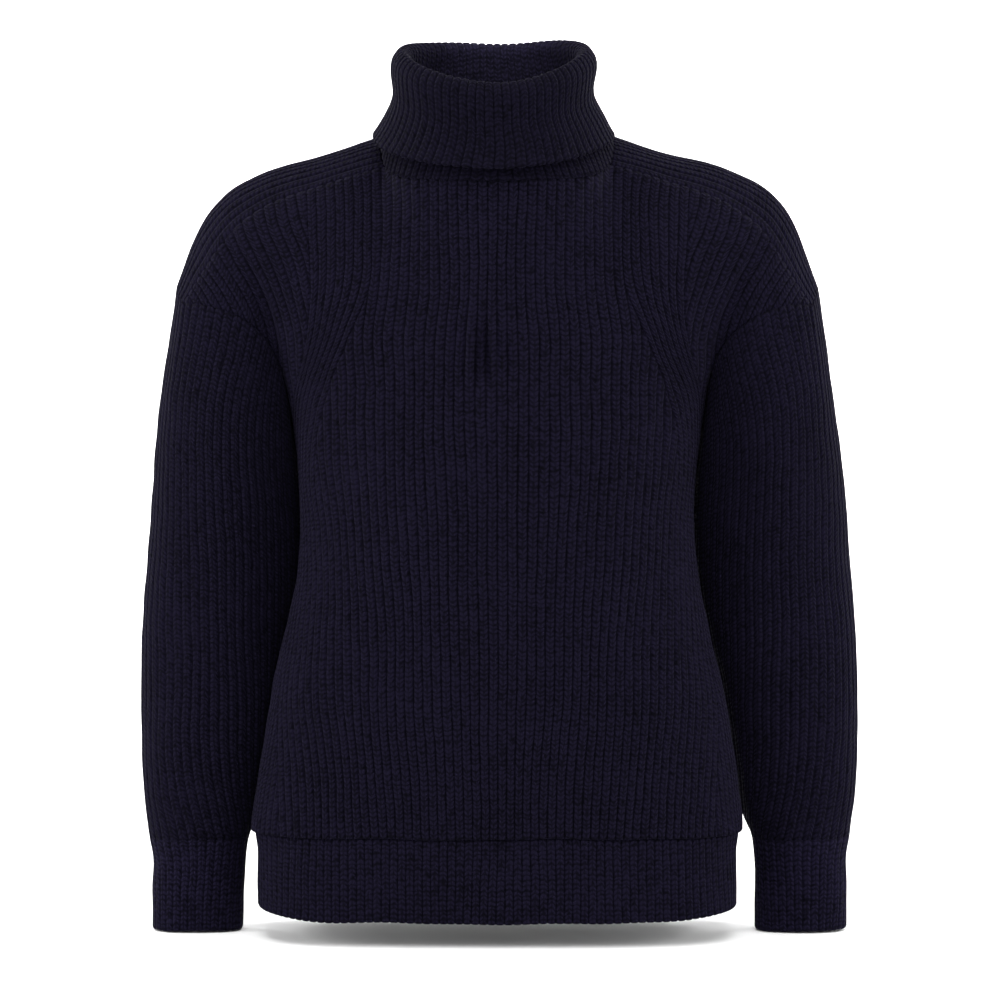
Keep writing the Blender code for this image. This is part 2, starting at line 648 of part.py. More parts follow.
# ---------------------------------------------------------------- pieces
def body_panel(name, side, colour):
    """The front or the back, in one piece from side seam to side seam."""
    low = np.array((HEM_SEAM_Z,) + BODY_ROWS_BELOW_ARMPIT)
    high = np.array(BODY_ROWS_ABOVE_ARMPIT)
    points, normals = body_surface(side, low, high)
    points[0] = bent_down(points[0], HEM_SEAM_SIDE_DIP, 2) + [0, 0, SEAM_GAP]

    at, relief = [], []
    steps = 2
    inner_number = np.arange(INNER_RIBS_LOW * steps + 1) / steps
    band_number = np.arange(1, BAND_RIBS * steps + 1) / steps
    outer_number = np.arange(OUTER_RIBS_HIGH * steps, -1, -1)[1:] / steps
    for r, row in enumerate(points):
        steps_x = np.abs(row[:, 0])
        height = row[0, 2]
        read = {n: smooth(height, column(BAND, "z"), column(BAND, n)) for n in BandEdge._fields}
        places = np.arange(SAMPLES)
        band_in = np.interp(read["inner_x"], steps_x, places)
        band_out = np.interp(read["outer_x"], steps_x, places)
        edge = SAMPLES - 1 - SEAM_GAP / 2 / (length_of(row) / (SAMPLES - 1))
        inner_kept = np.minimum(inner_number, read["inner_ribs"])
        outer_kept = np.minimum(outer_number, read["outer_ribs"])
        rise = np.clip((height - ARMPIT_Z) / EVEN_ABOVE_ARMPIT, 0, 1)
        inner_share = inner_kept / read["inner_ribs"]
        even_in_x = np.interp(read["inner_x"] * inner_share, steps_x, places)
        at_inner = band_in * inner_share * (1 - rise) + even_in_x * rise
        at_band = band_in + (band_out - band_in) * band_number / BAND_RIBS
        at_outer = edge - (edge - band_out) * outer_kept / read["outer_ribs"]
        at.append(np.concatenate([at_inner, at_band, at_outer]))
        relief.append(
            np.concatenate(
                [
                    np.where(inner_number < read["inner_ribs"], relief_at(inner_number), 0),
                    relief_at(band_number),
                    np.where(outer_number < read["outer_ribs"], relief_at(outer_number), 0),
                ]
            )
        )
    at, relief = np.stack(at), np.stack(relief)
    relief[:, -1] = 0
    trim = trimmed(points, rows=(-1,), gap=TOP_GAP * 2)
    inner_at = at[:, ::6]
    outer, inner = skins(trim, normals, at, relief, inner_at)
    outer, inner = both_halves(outer), both_halves(inner)
    return wall(name, outer, inner, colour)


def trimmed(points, rows, gap=SEAM_GAP):
    """Pulls these rows back from the seam by half its gap."""
    points = points.copy()
    for r in rows:
        inside = points[r - 1] if r < 0 else points[r + 1]
        points[r] += unit(inside - points[r]) * gap / 2
    return points


def both_halves(grid):
    """A half grid and its mirror image as one, from the wearer's right to the left."""
    return np.concatenate([grid[:, :0:-1] * [-1, 1, 1], grid], axis=1)


def sleeve(name, hand, colour):
    """A sleeve, as a tube with its seam under the arm, on the wearer's left (1) or right (-1).
    The left one hangs a little further out."""
    rows = np.array(SLEEVE_ROWS)
    halves = []
    for side in (FRONT, BACK):
        points, normals = sleeve_surface(side, rows)
        points = trimmed(points, rows=(0,), gap=ARMHOLE_GAP * 2)
        points[-1, :, 2] += SEAM_GAP / 2
        lengths = np.array([length_of(row) for row in points])
        ribs = int(math.ceil(lengths.max() / SLEEVE_RIB_PITCH / 2) * 2)
        number = np.arange(ribs * 2 + 1) / 2
        at = np.minimum(number[None] * SLEEVE_RIB_PITCH / lengths[:, None], 1) * (SAMPLES - 1)
        relief = np.where(at < SAMPLES - 1, relief_at(number)[None], 0)
        halves.append(skins(points, normals, at, relief, at[:, ::4]))
    outer = np.concatenate([halves[0][0][:, :0:-1], halves[1][0][:, :-1]], axis=1)
    inner = np.concatenate([halves[0][1][:, :0:-1], halves[1][1][:, :-1]], axis=1)
    outer, inner = (hung(grid * [hand, 1, 1], hand) for grid in (outer, inner))
    return wall(name, outer, inner, colour, closed=True)


def hung(grid, hand):
    """The left sleeve and cuff moved outwards, more so lower down."""
    if hand < 0:
        return grid
    down = np.clip((-0.20 - grid[..., 2]) / 0.30, 0, 1)
    out = LEFT_SLEEVE_SWING * down**2 * (3 - 2 * down)
    return grid + out[..., None] * [1, 0, 0]


def saddle(name, hand, colour):
    """The strap over the shoulder, its ribs running from the neck to the sleeve."""
    points, normals = strap_surface(SADDLE_ROWS, SAMPLES)
    points = trimmed(points, rows=(0, -1))
    number, relief = rib_columns(SADDLE_RIBS)
    lengths = np.array([length_of(row) for row in points])
    edge = SEAM_GAP / 2 / lengths * (SAMPLES - 1)
    at = edge[:, None] + (SAMPLES - 1 - 2 * edge[:, None]) * number[None] / SADDLE_RIBS
    inner_at = at[:, ::4]
    relief = np.tile(relief, (SADDLE_ROWS, 1))
    outer, inner = skins(points, normals, at, relief, inner_at)
    return wall(name, outer * [hand, 1, 1], inner * [hand, 1, 1], colour)


def collar(name, colour):
    """The roll collar: a tube sewn to the neckline, turned down over itself."""
    fine, fine_normals = collar_surface(COLLAR_RIBS * 2)
    relief = relief_at(np.arange(COLLAR_RIBS * 2) / 2)
    outer = fine - fine_normals * (RIB_DEPTH * (1 - relief))[None, :, None]
    coarse = slice(None, None, 6)
    inner = fine[:, coarse] - fine_normals[:, coarse] * WALL
    return wall(name, outer, inner, colour, closed=True)


def bent_down(row, dip, power):
    """A row that hangs lower towards the side seam, where it is down by the whole dip."""
    share = row[:, 0] / row[-1, 0]
    return row - (dip * share**power)[:, None] * [0, 0, 1]


def hem_ring_row(z, inset, side):
    """Half a level ring of the hem rib, a little narrower than the body above it."""
    row = body_row(max(z, BODY[0].z), side)
    scale = 1 - inset / row[-1, 0]
    return row * [scale, scale, 0] + [0, 0, z]


def hem(name, colour):
    """The hem rib, all round, linked to the front and the back."""
    rows = ((HEM_SEAM_Z, HEM_SEAM_SIDE_DIP, 2, 0.0030), (HEM_BOTTOM_Z, -HEM_BOTTOM_SIDE_RISE, 8, 0.0016))
    halves = []
    for side in (FRONT, BACK):
        points = np.stack(
            [bent_down(hem_ring_row(z, inset, side), dip, power) for z, dip, power, inset in rows]
        )
        normals = grid_normals(points, points * [1, 1, 0])
        normals[:, 0, 0] = 0
        normals[:, -1] = [1, 0, 0]
        normals[:, :, 2] = 0
        number, relief = rib_columns(HEM_RIBS)
        at = np.tile(number / HEM_RIBS * (SAMPLES - 1), (len(rows), 1))
        inner_at = at[:, ::6]
        halves.append(skins(points, unit(normals), at, np.tile(relief, (len(rows), 1)), inner_at))
    grids = []
    for k in (0, 1):
        front, back = halves[0][k], halves[1][k]
        half = np.concatenate([front, back[:, ::-1][:, 1:]], axis=1)
        mirrored = half[:, ::-1][:, 1:-1] * [-1, 1, 1]
        grids.append(np.concatenate([half, mirrored], axis=1))
    return wall(name, grids[0], grids[1], colour, closed=True)


def cuff(name, hand, colour):
    """The rib at the wrist, a short tube."""
    heights = (CUFF_SEAM_Z - SEAM_GAP / 2, -0.590, CUFF_BOTTOM_Z)
    halves = []
    for side in (FRONT, BACK):
        shares = np.linspace(0, 1, SAMPLES)
        points = np.stack(
            [np.stack([sleeve_section(z, s, side) for s in shares]) for z in heights]
        )
        centre = (points[:, :1] + points[:, -1:]) / 2
        normals = grid_normals(points, (points - centre) * [1, 1, 0])
        normals[:, 0, 1] = 0
        normals[:, -1, 1] = 0
        normals[:, :, 2] = 0
        number, relief = rib_columns(CUFF_RIBS)
        at = np.tile(number / CUFF_RIBS * (SAMPLES - 1), (len(heights), 1))
        halves.append(skins(points, unit(normals), at, np.tile(relief, (len(heights), 1)), at[:, ::4]))
    outer = np.concatenate([halves[0][0][:, :0:-1], halves[1][0][:, :-1]], axis=1)
    inner = np.concatenate([halves[0][1][:, :0:-1], halves[1][1][:, :-1]], axis=1)
    outer, inner = (hung(grid * [hand, 1, 1], hand) for grid in (outer, inner))
    return wall(name, outer, inner, colour, closed=True)


# ---------------------------------------------------------------- the garment
for old in list(bpy.data.objects):
    bpy.data.objects.remove(old)
garment = bpy.data.collections.new("chunky_roll_neck_sweater")
bpy.context.scene.collection.children.link(garment)

NAVY = (0.0085, 0.0070, 0.0160)

body_panel("front", FRONT, NAVY)
body_panel("back", BACK, NAVY)
for hand, word in ((1, "left"), (-1, "right")):
    saddle("saddle_" + word, hand, NAVY)
    sleeve("sleeve_" + word, hand, NAVY)
    cuff("cuff_" + word, hand, NAVY)
collar("collar", NAVY)
hem("hem_rib", NAVY)
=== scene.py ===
"""Looks of the chunky rib-knit roll-neck sweater, filled out as worn and hollow inside.

Metres, +Z up, the front facing -Y, the origin where the shoulders meet the neck.  Each piece is
a closed wall whose skin is a surface of two parameters, along the ribs and across them, worked
out as whole arrays.  Its UV map counts ribs in u and rows of stitches, called courses, in v.
"""

from functools import partial
import math

import bmesh
import bpy
import numpy as np
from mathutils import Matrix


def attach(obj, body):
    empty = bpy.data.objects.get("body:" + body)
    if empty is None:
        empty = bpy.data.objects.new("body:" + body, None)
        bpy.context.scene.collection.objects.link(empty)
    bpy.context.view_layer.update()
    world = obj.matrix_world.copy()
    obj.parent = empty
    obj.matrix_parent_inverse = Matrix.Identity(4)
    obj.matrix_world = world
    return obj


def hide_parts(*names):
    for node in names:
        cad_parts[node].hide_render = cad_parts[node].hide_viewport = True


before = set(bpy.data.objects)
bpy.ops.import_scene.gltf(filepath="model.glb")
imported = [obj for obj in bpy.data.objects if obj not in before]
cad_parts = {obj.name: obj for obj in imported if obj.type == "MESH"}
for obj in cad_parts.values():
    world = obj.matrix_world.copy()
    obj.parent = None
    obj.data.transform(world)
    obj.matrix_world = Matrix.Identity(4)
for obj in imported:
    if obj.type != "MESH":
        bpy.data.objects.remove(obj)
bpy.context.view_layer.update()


def table(names, *rows):
    """A table of numbers as its named columns, each an array."""
    return dict(zip(names.split(), np.array(rows, float).T))


# --- driving sizes
WALL = 0.0046  # cloth thickness at the crest of a rib
RIB_DEPTH = 0.0019  # how far a groove lies below the crests beside it
COURSE = 0.0040  # height of one row of stitches
LIP_COURSES = 1.5  # rows of stitches that turn round a loose edge
FRONT, BACK = -1, 1  # sign of y on each side of the side seams
SAMPLES = 161  # fine steps along a row, from which its rib columns are read
STEPS = 6  # mesh columns to a rib
INNER_STEP = 4  # rows of the outer skin to one of the inner skin
MERGE = 0.000004  # points closer than this are one
MIRROR = [-1, 1, 1]  # turns points to the other side of the centre line

ARMPIT_X, ARMPIT_Z = 0.168, -0.225
HEM_SEAM_Z, HEM_SEAM_SIDE_DIP = -0.5575, 0.002
HEM_BOTTOM_Z, HEM_BOTTOM_SIDE_RISE = -0.626, 0.005
CUFF_SEAM_Z, CUFF_BOTTOM_Z = -0.57, -0.645
LEFT_SLEEVE_SWING = 0.0034  # how much further out the left sleeve hangs than the right one
SWING_FROM, SWING_OVER = -0.20, 0.30  # from this height, over so much
HEM_INSET_TOP, HEM_INSET_FOOT = 0.0030, 0.0016  # how far the hem rib is drawn in
HEM_REACH = 0.06  # how far up the body its seam's dip is felt

# ribs on half of each piece, counted from its centre line to its seam
INNER_RIBS_LOW, INNER_RIBS_HIGH, BAND_RIBS = 20, 13, 7
OUTER_RIBS_LOW, OUTER_RIBS_HIGH = 12, 12
HEM_RIBS, CUFF_RIBS = 39, 16
SADDLE_RIBS, COLLAR_RIBS = 14, 72  # in all
SLEEVE_RIB_PITCH = 0.008
HEM_RELIEF, CUFF_RELIEF = 0.7, 0.55  # how deep their grooves are beside the body's
COLLAR_RELIEF, SLEEVE_RELIEF = 0.75, 0.8  # the same for these
CREST_POWER = 2.2  # how broad a rib's crest is, and how narrow the groove beside it

# rows of points down each piece
BODY_ROWS_LOW, BODY_ROWS_HIGH = 84, 53  # below and above the armpit
SLEEVE_ROWS, STRAP_ROWS, COLLAR_ROWS, TRIM_ROWS = 109, 49, 73, 25
TRIM_LIP_ROWS, COLLAR_LIP_ROWS = 3, 4  # rows that turn round a loose edge
COLLAR_STEPS = 8  # mesh columns to a rib of the collar

# --- tables of sections
BODY = table(
    "z half_width front_depth back_depth squareness",
    (-0.575, 0.1985, 0.103, 0.095, 3.4),
    (-0.556, 0.2005, 0.105, 0.096, 3.1),
    (-0.529, 0.1976, 0.108, 0.096, 2.9),
    (-0.488, 0.1923, 0.111, 0.096, 2.8),
    (-0.439, 0.1841, 0.115, 0.096, 2.7),
    (-0.4, 0.1743, 0.118, 0.098, 2.6),
    (-0.371, 0.1677, 0.12, 0.101, 2.6),
    (-0.346, 0.1636, 0.122, 0.104, 2.5),
    (-0.31, 0.1615, 0.125, 0.109, 2.5),
    (-0.275, 0.1624, 0.128, 0.113, 2.4),
    (-0.242, 0.1656, 0.129, 0.115, 2.4),
    (-0.225, 0.168, 0.129, 0.116, 2.4),
    (-0.205, 0.171, 0.128, 0.116, 2.4),
)

# The shoulder strap's front seam and the ridge above it, from the neck to the sleeve.
SHOULDER = table(
    "seam_x seam_depth seam_z ridge_x ridge_z",
    (0.0906, 0.044, -0.019, 0.092, 0.006),
    (0.118, 0.047, -0.0265, 0.12, -0.003),
    (0.1435, 0.049, -0.0345, 0.148, -0.0108),
    (0.1651, 0.05, -0.0415, 0.173, -0.0172),
    (0.1832, 0.05, -0.0485, 0.1935, -0.024),
    (0.2012, 0.05, -0.059, 0.215, -0.034),
    (0.215, 0.05, -0.071, 0.2318, -0.0492),
    (0.2265, 0.05, -0.087, 0.2435, -0.068),
    (0.2385, 0.048, -0.106, 0.2522, -0.0895),
    (0.2545, 0.042, -0.13, 0.262, -0.1165),
)
BACK_ROUNDNESS = 0.80  # the back's rings are less square than the front's by this
BACK_SEAM_INSET, BACK_SEAM_LIFT = 0.0164, 0.023
CORNER_SPREAD = 0.22  # how far the neck's corner is rounded off further down the front

# The armhole seam on the front, from the armpit up to the strap.
ARMHOLE = table(
    "x depth z",
    (ARMPIT_X, 0.0, ARMPIT_Z),
    (0.1695, 0.026, -0.205),
    (0.176, 0.047, -0.177),
    (0.19, 0.06, -0.153),
    (0.209, 0.065, -0.138),
    (0.226, 0.062, -0.1315),
    (0.242, 0.053, -0.1295),
    (0.2545, 0.042, -0.13),
)

# The soft fold from the shoulder down in front of the armhole, and behind it.
FOLD = table(
    "x z depth",
    (0.223, -0.07, 0.0),
    (0.214, -0.085, 0.0022),
    (0.201, -0.1, 0.004),
    (0.1925, -0.118, 0.0048),
    (0.186, -0.136, 0.004),
    (0.18, -0.158, 0.002),
    (0.1745, -0.183, 0.0),
)
FOLD_HALF_WIDTH = 0.0085

# Small creases of the worn cloth, each a line down the front or the back that stands out or,
# with a negative height, sinks in.
CREASE = table(
    "side top_x top_z low_x low_z width height",
    (FRONT, -0.023, -0.11, -0.02, -0.198, 0.002, 0.0042),
    (FRONT, -0.0165, -0.132, -0.016, -0.196, 0.0022, -0.0022),
    (FRONT, -0.01, -0.126, -0.0045, -0.198, 0.0022, -0.0052),
    (FRONT, -0.0045, -0.122, 0.0, -0.197, 0.0018, 0.0038),
    (FRONT, 0.008, -0.138, 0.0075, -0.19, 0.0022, -0.0014),
    (FRONT, 0.142, -0.18, 0.123, -0.262, 0.006, -0.0016),
    (FRONT, -0.144, -0.178, -0.121, -0.258, 0.006, -0.0018),
    (BACK, 0.026, -0.09, 0.018, -0.26, 0.0075, -0.002),
    (BACK, -0.048, -0.11, -0.036, -0.3, 0.0085, -0.0018),
    (BACK, 0.132, -0.15, 0.106, -0.29, 0.008, -0.0024),
    (BACK, -0.129, -0.16, -0.108, -0.3, 0.008, -0.0022),
    (BACK, 0.215, -0.33, 0.25, -0.372, 0.012, -0.0022),
    (BACK, -0.25, -0.345, -0.212, -0.385, 0.012, -0.0022),
)
CREASE_OFF_SIDE = 0.03  # a crease lies at least this far in front of or behind the side
BROAD_SIZE, BROAD_MOVE = 0.110, 0.0009  # size of the cloth's unevenness, and how far it goes
FINE_SIZE, FINE_MOVE = 0.016, 0.00026  # the same for the wandering of single ribs
FINE_STRETCH = 0.30  # which is this much slower down a rib than across
LIFT, LIFT_X, LIFT_WIDTH = 0.0023, 0.165, 0.070  # how far the left shoulder is raised, and where
LIFT_FROM, LIFT_OVER = -0.12, 0.08  # from this height, over so much

# The neckline on the body, by the angle round the neck from the front centre.
NECK = table(
    "angle z",
    (-30, -0.029),
    (0, -0.03),
    (35, -0.029),
    (60, -0.025),
    (77, -0.019),
    (130.6, 0.004),
    (155, 0.011),
    (180, 0.0135),
    (205, 0.011),
)
NECK_HALF_WIDTH, NECK_HALF_DEPTH = 0.0925, 0.086
NECK_CENTRE_Y, NECK_SQUARENESS = -0.018, 2.5
STRAP_FROM, STRAP_TO = math.radians(77), math.radians(130.6)

# Level sections of the sleeve.
SLEEVE = table(
    "z inner_x outer_x centre_y half_depth squareness",
    (-0.66, 0.2101, 0.2849, 0.01, 0.024, 2.3),
    (-0.612, 0.2097, 0.2847, 0.013, 0.028, 2.3),
    (-0.583, 0.208, 0.2851, 0.019, 0.033, 2.3),
    (-0.5695, 0.2055, 0.2882, 0.023, 0.038, 2.2),
    (-0.556, 0.199, 0.2906, 0.026, 0.041, 2.2),
    (-0.53, 0.1925, 0.2942, 0.03, 0.045, 2.2),
    (-0.49, 0.186, 0.2957, 0.034, 0.049, 2.2),
    (-0.44, 0.176, 0.2953, 0.037, 0.052, 2.1),
    (-0.39, 0.166, 0.294, 0.037, 0.055, 2.1),
    (-0.34, 0.159, 0.2903, 0.033, 0.058, 2.0),
    (-0.29, 0.158, 0.2856, 0.024, 0.061, 2.0),
    (-0.235, 0.165, 0.279, 0.009, 0.063, 2.0),
    (-0.2, 0.1725, 0.2745, 0.003, 0.062, 2.0),
    (-0.16, 0.18, 0.269, 0.0, 0.058, 2.0),
    (-0.11, 0.2, 0.2615, 0.0, 0.05, 2.0),
)
SLEEVE_LEVELS = 140  # sections worked out between the first and the last of these
UNDERARM_GAP = 0.0021  # between the sleeve and the body's side, which hang face to face
SIDE_GAP = 0.0014  # least room between the sleeve and the body's side lower down
SIDE_TURN = 0.0015  # how softly the sleeve gives way to the body's side

# The shaped band of ribs on the chest, as distances from the centre line.
BAND = table(
    "z inner_x outer_x inner_ribs outer_ribs",
    (-0.575, 0.1334, 0.1757, INNER_RIBS_LOW, OUTER_RIBS_LOW),
    (-0.5, 0.138, 0.1774, INNER_RIBS_LOW, 9.7),
    (-0.45, 0.1431, 0.1778, INNER_RIBS_LOW, 7.3),
    (-0.4, 0.1428, 0.1703, INNER_RIBS_LOW, 5.3),
    (-0.345, 0.1427, 0.1624, INNER_RIBS_LOW, 3.1),
    (-0.3, 0.144, 0.1608, INNER_RIBS_LOW, 2.3),
    (-0.262, 0.146, 0.1631, 19.7, 2.3),
    (-0.225, 0.1425, 0.1657, 18.4, 3.6),
    (-0.195, 0.1345, 0.1639, 17.0, 4.4),
    (-0.161, 0.119, 0.155, 14.6, 6.2),
    (-0.121, 0.102, 0.15, INNER_RIBS_HIGH, 8.0),
    (-0.074, 0.101, 0.152, INNER_RIBS_HIGH, 11.0),
    (-0.03, 0.102, 0.155, INNER_RIBS_HIGH, OUTER_RIBS_HIGH),
)
EVEN_ABOVE_ARMPIT = 0.10  # the inner ribs are evenly spaced as seen from the front above this

# The ribs outside the band above the armpit, which fan out under the strap: their pitch from
# the front, and how many the band has met on the way down to there.
FAN = table(
    "z pitch met",
    (-0.03, 0.0092, 0.0),
    (-0.046, 0.0092, 0.0),
    (-0.07, 0.0097, 0.6),
    (-0.09, 0.0096, 1.4),
    (-0.118, 0.008, 2.0),
    (-0.138, 0.0073, 2.8),
    (-0.158, 0.0068, 3.6),
    (-0.182, 0.0063, 4.5),
    (-0.206, 0.006, 5.5),
    (-0.225, 0.0058, 6.3),
)
SIDE_SEAM_RIB = 9.9  # number of the rib at the side seam, counted as in that table
FAN_RIBS = 17  # number of the last rib, at the strap's end
FAN_ABOVE_ARMPIT = 0.07  # the height over which the fan takes over from the ribs lower down
BAND_START, OUTER_START = 40, 60  # first rib number of the stitches in the band and outside it

# Rings of the roll collar along its shown face, up inside the neck, over the top and down to the
# loose edge.  A ring's height is mid - lean cos(angle) - dip cos(2 angle).
COLLAR = table(
    "half_width half_depth shift centre_y mid lean dip",
    (0.077, 0.07, 0.0015, -0.024, 0.022, 0.017, 0.002),
    (0.0685, 0.065, 0.003, -0.029, 0.05, 0.018, 0.0045),
    (0.0682, 0.0645, 0.0036, -0.0301, 0.0685, 0.0186, 0.006),
    (0.0745, 0.071, 0.0036, -0.0304, 0.0716, 0.0188, 0.0062),
    (0.0808, 0.0775, 0.0036, -0.0306, 0.066, 0.0188, 0.006),
    (0.0826, 0.081, 0.0032, -0.0285, 0.0325, 0.0196, 0.004),
    (0.089, 0.087, 0.0024, -0.025, 0.0195, 0.0204, 0.0034),
    (0.0972, 0.095, 0.0033, -0.0215, 0.0038, 0.0208, 0.0028),
)
COLLAR_BASE_SPREAD = 0.13  # how far round the neck the collar's foot rounds off its corners
COLLAR_BASE_INSET = 0.0030  # how far the collar's foot lies inside the neckline
COLLAR_BASE_DROP = 0.0018  # how far it laps down over the body
HIDDEN_DEPTH = 0.0013  # how deep the grooves are on the hidden face, which the foot shows
HIDDEN_STEP = 2  # rows of the collar's outer skin to one of its hidden face
LIP_FLARE = 0.0010  # how far the collar's loose edge turns outwards
LIP_SHARPNESS = 34  # the power of the way down by which it does


# --- numbers
def read(columns, at, knots=None):
    """A table's columns, read smoothly at these places on its column z or on other knots."""
    knots = columns["z"] if knots is None else knots
    return {name: smooth(at, knots, values) for name, values in columns.items()}


def smooth(x, xs, ys):
    """A cubic through the points xs, ys, with the slope at each taken from its neighbours."""
    order = np.argsort(xs)
    xs, ys = np.asarray(xs, float)[order], np.asarray(ys, float)[order]
    slope = np.gradient(ys, xs, axis=0)
    x = np.asarray(x, float)
    i = np.clip(np.searchsorted(xs, x) - 1, 0, len(xs) - 2)
    width = xs[i + 1] - xs[i]
    s = (np.clip(x, xs[0], xs[-1]) - xs[i]) / width
    shape = s.shape + (1,) * (ys.ndim - 1)
    s, width = s.reshape(shape), width.reshape(shape)
    return cubic(ys[i], ys[i + 1], width * slope[i], width * slope[i + 1], s)


def cubic(start, end, leaving, arriving, t):
    """A cubic's places at these shares of the way, from its ends and its slopes there."""
    return (
        start * (2 * t**3 - 3 * t**2 + 1)
        + end * (3 * t**2 - 2 * t**3)
        + leaving * (t**3 - 2 * t**2 + t)
        + arriving * (t**3 - t**2)
    )


def unit(vectors):
    """The vectors at length 1."""
    return vectors / np.maximum(np.linalg.norm(vectors, axis=-1, keepdims=True), 1e-12)


def xyz(x, y, z):
    """Points from their three coordinates, numbers or arrays."""
    return np.stack(np.broadcast_arrays(x, y, z), axis=-1)


def lengths(points):
    """The length from the start of a line of points, or down each column of a grid."""
    steps = np.linalg.norm(np.diff(points, axis=0), axis=-1)
    return np.concatenate([np.zeros((1,) + steps.shape[1:]), np.cumsum(steps, axis=0)])


def by_length(points, shares):
    """The places along a fine line of points at these shares of its length."""
    along = lengths(points)
    along /= along[-1]
    return np.stack([np.interp(shares, along, points[:, axis]) for axis in range(3)], axis=-1)


def quarter_oval(half_width, depth, squareness, count):
    """A quarter of a squared-off oval in plan, evenly spaced: x is the half width times sin to
    the power 2 / squareness, and y the depth times cos to that power."""
    angle = np.linspace(0, math.pi / 2, count * 3)
    power = 2 / squareness
    line = xyz(half_width * np.sin(angle) ** power, depth * np.cos(angle) ** power, 0)
    return by_length(line, np.linspace(0, 1, count))


def grid_normals(points, outward_hint):
    """Unit normals of a grid: the cross product of its two steps, on the side of the hints."""
    normals = unit(np.cross(np.gradient(points, axis=1), np.gradient(points, axis=0)))
    turned = np.sign((normals * outward_hint).sum(axis=-1, keepdims=True))
    return normals * np.where(turned == 0, 1, turned)


def along_rows(values, at):
    """Reads a row grid of values at these fractional column numbers, a list for each row."""
    low = np.clip(np.floor(at).astype(int), 0, values.shape[1] - 2)
    share = (at - low)[..., None]
    rows = np.arange(len(values))[:, None]
    return values[rows, low] * (1 - share) + values[rows, low + 1] * share


def between(at, xs, ys):
    """Rows of places, each read off its own row of xs and ys by straight lines."""
    return np.array([np.interp(*row) for row in zip(at, xs, ys)])


def waves(points, size, seed):
    """Soft unevenness between about -1 and 1: sine waves of about this size through space, with
    directions and phases drawn from the seed."""
    count = 6
    rng = np.random.default_rng(seed)
    ways = unit(rng.normal(size=(count, 3)))
    ways = ways * (2 * math.pi / size) * rng.uniform(0.6, 1.6, (count, 1))
    phases = rng.uniform(0, 2 * math.pi, count)
    return np.sin(points @ ways.T + phases).sum(axis=-1) / (count / 2)


def bell(away, width):
    """A bell curve of the distance from its middle: 1 there, next to nothing past two widths."""
    return np.exp(-((away / width) ** 2))


def creases(points):
    """How far the small creases of the worn cloth push it outwards: a bell curve across each
    line of the table, swelling and dying away along it as a sine."""
    push = np.zeros(points.shape[:-1])
    for side, top_x, top_z, low_x, low_z, width, height in zip(*CREASE.values()):
        down = (points[..., 2] - top_z) / (low_z - top_z)
        along = np.sin(math.pi * np.clip(down, 0, 1) ** 1.5)
        middle = top_x + (low_x - top_x) * down
        there = (points[..., 1] * side > CREASE_OFF_SIDE) * along
        push += height * there * bell(points[..., 0] - middle, width)
    return push


def settled(points):
    """Points moved as worn cloth settles: a broad soft unevenness, a fine one that makes ribs
    wander, the creases, and a slightly higher left shoulder.  The move depends on the place
    alone, so pieces that touch stay together."""
    fine = points * [1, 1, FINE_STRETCH]
    broad = xyz(*(waves(points, BROAD_SIZE, seed) for seed in (1, 2, 3)))
    small = xyz(waves(fine, FINE_SIZE, 4), waves(fine, FINE_SIZE, 5), 0)
    out = unit(points * [1, 1, 0])
    moved = broad * BROAD_MOVE + small * FINE_MOVE
    rise = np.clip((points[..., 2] - LIFT_FROM) / LIFT_OVER, 0, 1)
    moved[..., 2] += LIFT * rise * bell(points[..., 0] - LIFT_X, LIFT_WIDTH)
    return points + moved + out * creases(points)[..., None]


# --- seam lines
def neck_point(angle):
    """The neckline at this angle, from 0 at the front centre to pi at the back: a squared-off
    oval, and the end of the shoulder strap between its two seams."""
    power = 2 / NECK_SQUARENESS
    ahead = np.sign(np.cos(angle)) * np.abs(np.cos(angle)) ** power
    across = NECK_HALF_WIDTH * np.abs(np.sin(angle)) ** power
    height = smooth(np.degrees(angle), NECK["angle"], NECK["z"])
    oval = xyz(across, NECK_CENTRE_Y - NECK_HALF_DEPTH * ahead, height)
    over = np.clip((angle - STRAP_FROM) / (STRAP_TO - STRAP_FROM), 0, 1)
    on_strap = (over > 0) & (over < 1)
    return np.where(on_strap[..., None], strap_point(over, 0 * over), oval)


def neck_normal(angle):
    """The direction in which the cloth's edge faces outwards at the neckline."""
    up = 0.55
    return unit(xyz(np.sin(angle), -np.cos(angle), up))


def strap_lines(share):
    """Front seam, ridge and back seam of the shoulder strap at these shares of its length."""
    knots = np.linspace(0, 1, len(SHOULDER["seam_x"]))
    x, depth, z, ridge_x, ridge_z = read(SHOULDER, share, knots).values()
    near_neck = 1 - np.asarray(share, float)
    inset, lift = BACK_SEAM_INSET * near_neck**3, BACK_SEAM_LIFT * near_neck**2
    return xyz(x, -depth, z), xyz(ridge_x, 0, ridge_z), xyz(x - inset, depth, z + lift)


def strap_point(across, share):
    """The strap's face: a quadratic arc over the ridge, from the front seam to the back one."""
    front, ridge, back = strap_lines(share)
    peak = 2 * ridge - (front + back) / 2
    w = across[..., None]
    return front * (1 - w) ** 2 + 2 * peak * w * (1 - w) + back * w**2


def strap_normal(across, share):
    """The strap's outward normal, from steps along and across it."""
    step = 1e-4
    across, share = np.clip(across, step, 1 - step), np.clip(share, step, 1 - step)
    over = strap_point(across + step, share) - strap_point(across - step, share)
    out = strap_point(across, share + step) - strap_point(across, share - step)
    return unit(np.cross(out, over))


